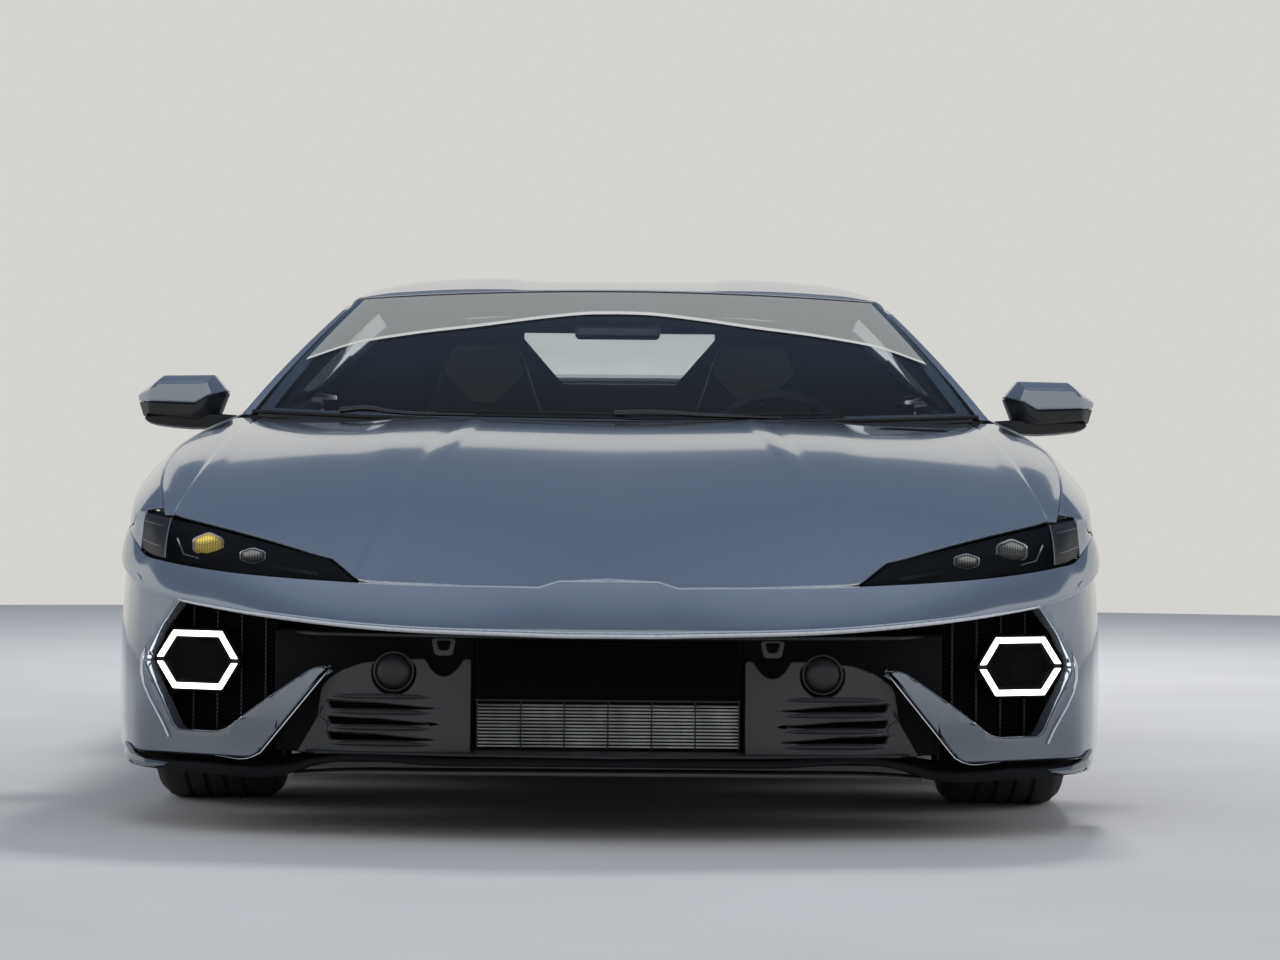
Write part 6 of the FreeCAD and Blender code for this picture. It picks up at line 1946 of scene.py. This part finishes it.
# ---- steering wheel ----
def build_steering_wheel():
    hub = V(joint("steering_column")["pos_m"])
    axis = V(joint("steering_column")["axis"]).normalized()
    up = X.cross(axis)
    up = up if up.z > 0 else -up
    body = "steering_wheel"

    def on(u, v, w=0.0):
        return hub + X * u + up * v - axis * w
    radius = 0.176
    ring = []
    for a in circle(96):
        u, v = radius * cos(a), radius * sin(a)
        if v < -0.135:
            v = -0.135 + (v + 0.135) * 0.25
        ring.append(on(u, v))
    grip = [0.0145 + 0.002 * (abs(cos(a)) > 0.85) for a in circle(96)]
    rim = tube("wheel_rim", ring, grip, SEAT_BLACK, body, closed=True, res=5)
    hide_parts("steering_wheel")
    for s in (1, -1):
        arm = [on(s * 0.045, -0.005, 0.004), on(s * 0.1, -0.012, 0.004), on(s * 0.166, 0.004, 0.0)]
        rings = [oval(p, up, axis, w, 0.007, 10, 0.7) for p, w in zip(spline(arm, 4),
            (0.036, 0.03, 0.026, 0.022, 0.02, 0.018, 0.018, 0.02, 0.022))]
        lofted(f"wheel_arm_{s}", rings, SATIN_BLACK, body)
        paddle = [on(s * 0.07, 0.02, -0.03), on(s * 0.1, 0.045, -0.03), on(s * 0.128, 0.085, -0.028)]
        tube(f"paddle_{s}", spline(paddle, 4), 0.006, SATIN_BLACK, body)
        keys = [tube(f"key_{s}_{k}", [on(s * 0.075, -0.012 - 0.014 * k + 0.014, -0.004),
            on(s * 0.075, -0.012 - 0.014 * k + 0.014, 0.014)], 0.006, GLOSS_BLACK, body) for k in range(3)]
        join(f"wheel_keys_{s}", keys, body)
    low = [on(0, -0.04, 0.004), on(0, -0.1, 0.004), on(0, -0.142, 0.0)]
    rings = [oval(p, X, axis, w, 0.006, 10, 0.7) for p, w in zip(spline(low, 3),
        (0.034, 0.028, 0.024, 0.022, 0.022, 0.024, 0.03))]
    lofted("wheel_low_arm", rings, SATIN_BLACK, body)
    rings = [[on(0.056 * k * cos(a), 0.05 * k * sin(a), w) for a in circle(24)]
        for w, k in ((-0.018, 0.75), (-0.004, 1.0), (0.01, 1.0), (0.019, 0.8), (0.021, 0.4))]
    pillow("wheel_hub_pad", rings, SEAT_BLACK, body, 1)
    tube("steering_column_shroud", [hub + axis * 0.024, hub + axis * 0.1], 0.03, SATIN_BLACK)
    for s in (1, -1):
        stalk = [hub + axis * 0.05 + X * (s * 0.03), hub + axis * 0.045 + X * (s * 0.13) + up * 0.01]
        tube(f"stalk_{s}", stalk, 0.006, SATIN_BLACK)


def build_cabin():
    build_seat(1, "left")
    build_seat(-1, "right")
    build_dashboard()
    build_steering_wheel()
    wall = rounded([(-0.7, 0.16), (-0.7, 0.9), (-0.57, 1.07), (-0.3, 1.1), (0.3, 1.1), (0.57, 1.07),
        (0.7, 0.9), (0.7, 0.16)], 0.03)
    pane = [(-0.262, 1.085), (0.262, 1.085), (0.262, 1.068), (0.156, 0.944), (-0.156, 0.944),
        (-0.262, 1.068)]
    panel(sliced_sheet("bulkhead_trim", wall, lambda u, v: V((u, BACK - 0.004, v)), 0.1, (0, -1, 0),
        [pane]), (0.003, 0.001), TRIM)
    panel(sliced_sheet("rear_window_pane", [(x * 0.985, 1.012 + (z - 1.012) * 0.99)
        for x, z in pane], lambda u, v: V((u, BACK + 0.014, v)), 0.1, (0, 1, 0)),
        (0.004, 0.0005), REAR_GLASS, "root", "rear_window")
    for side in (1, -1):
        block(f"floor_mat_{side}", (side * 0.13, F + 0.62, 0.149), (side * 0.66, BACK - 0.8, 0.156),
            CARPET, bevel=0.004)


# ---- studio ----
CAMERA, CAMERA_TURN, LENS_MM = (0.058, -9.308, 0.679), (90.087, -0.47, 0), 104.06
BACKDROP = (0.655, 0.65, 0.63, 1)  # what the camera sees behind the car
FLOOR = 11.4  # radius of the round floor
SKY = [(0.0, (0.6, 0.59, 0.57)), (0.415, (0.68, 0.675, 0.66)), (0.428, (0.125, 0.165, 0.235)),
    (0.62, (0.125, 0.165, 0.24)), (0.8, (0.2, 0.25, 0.345)), (0.92, (0.33, 0.385, 0.475)),
    (1.0, (0.42, 0.48, 0.57))]
# name, place, height aimed at, size, power
LAMPS = [("key", (1.5, 5.5, 7.5), 0.4, 1.6, 520), ("fill", (0, -7.5, 5.0), 0.6, 6.0, 150),
    ("side_left", (7.5, -1.0, 3.2), 0.6, 4.0, 110), ("side_right", (-7.5, -1.0, 3.2), 0.6, 4.0, 110)]


def build_studio():
    scene = bpy.context.scene
    scene.view_settings.view_transform = "Standard"
    cam = bpy.data.objects.new("camera", bpy.data.cameras.new("camera"))
    cam.data.lens = LENS_MM
    cam.data.sensor_width = 36
    cam.data.clip_end = 200
    cam.location = CAMERA
    cam.rotation_euler = [radians(a) for a in CAMERA_TURN]
    scene.collection.objects.link(cam)
    scene.camera = cam

    floor_mat, p = material("floor", (0.62, 0.61, 0.6), rough=0.9)
    cloud = noise(floor_mat, 1.2, 6.0)
    tint(floor_mat, p, cloud, (0.3, (0.6, 0.59, 0.58)), (0.7, (0.65, 0.64, 0.63)))
    bm = bmesh.new()
    bmesh.ops.create_circle(bm, cap_ends=True, segments=180, radius=FLOOR)
    floor = finish_mesh("floor", bm)
    floor.data.materials.append(floor_mat)

    world = bpy.data.worlds.new("studio")
    scene.world = world
    world.use_nodes = True
    bg = world.node_tree.nodes["Background"]
    split = node(world, "ShaderNodeSeparateXYZ")
    link(world, node(world, "ShaderNodeTexCoord").outputs["Generated"], split.inputs["Vector"])
    pick = node(world, "ShaderNodeMix", data_type="RGBA")
    pick.inputs["B"].default_value = BACKDROP
    link(world, node(world, "ShaderNodeLightPath").outputs["Is Camera Ray"], pick.inputs["Factor"])
    link(world, ramp(world, split.outputs["Z"], SKY), pick.inputs["A"])
    link(world, pick.outputs["Result"], bg.inputs["Color"])
    bg.inputs["Strength"].default_value = 1.0
    for name, place, look, size, power in LAMPS:
        data = bpy.data.lights.new(name, "AREA")
        data.shape = "SQUARE"
        data.size = size
        data.energy = power
        obj = bpy.data.objects.new(name, data)
        obj.location = place
        obj.rotation_euler = (V((0, 0, look)) - V(place)).to_track_quat("-Z", "Y").to_euler()
        obj.visible_glossy = obj.visible_transmission = False
        scene.collection.objects.link(obj)


def finish_cad_nodes():
    """Materials for the CAD pieces that show as they are, by the start of their names."""
    looks = ((PAINT, "roof engine_lid rear_deck rear_bumper mirror front_bumper front_wing"),
        (PAINT, "rear_quarter door_ bonnet"), (SATIN_BLACK,
        "side_ducts tub luggage_box arch_liners wipers"), (GLOSS_BLACK, "splitter headlamp"),
        (DARK_METAL, "rear_frame engine suspension"), (CALIPER, "uprights_rear upright_front"),
        (TRIM, "dashboard steering_wheel seat"), (GLASS, "windscreen rear_window door_glass"),
        (MATT_BLACK, "intake_panel"), (FIN_METAL, "radiators"), (WHITE_GLOW, "hex_lamps"),
        (RED_GLOW, "tail_lamps"), (STEEL, "exhaust"), (CARBON, "undertray"), (RUBBER, "tyre"),
        (ALLOY, "wheel"),)
    mats = {start: mat for mat, starts in looks for start in starts.split()}
    for name, obj in frame["nodes"].items():
        obj.data.materials.clear()
        obj.data.materials.append(mats[max((k for k in mats if name.startswith(k)), key=len)])


for build in (finish_cad_nodes, build_band, build_cheeks, build_headlamps, build_hex_lamps,
        build_radiators, build_ducts, build_splitter, build_windscreen, build_roof,
        build_side_windows, build_mirrors, build_door_trims, build_wipers, build_sills,
        build_side_intakes, build_engine_lid, build_rear_deck, build_tail, build_wheels,
        build_cabin, build_wings, build_wing_corners, build_doors, build_quarters,
        build_bonnet, build_studio):
    build()
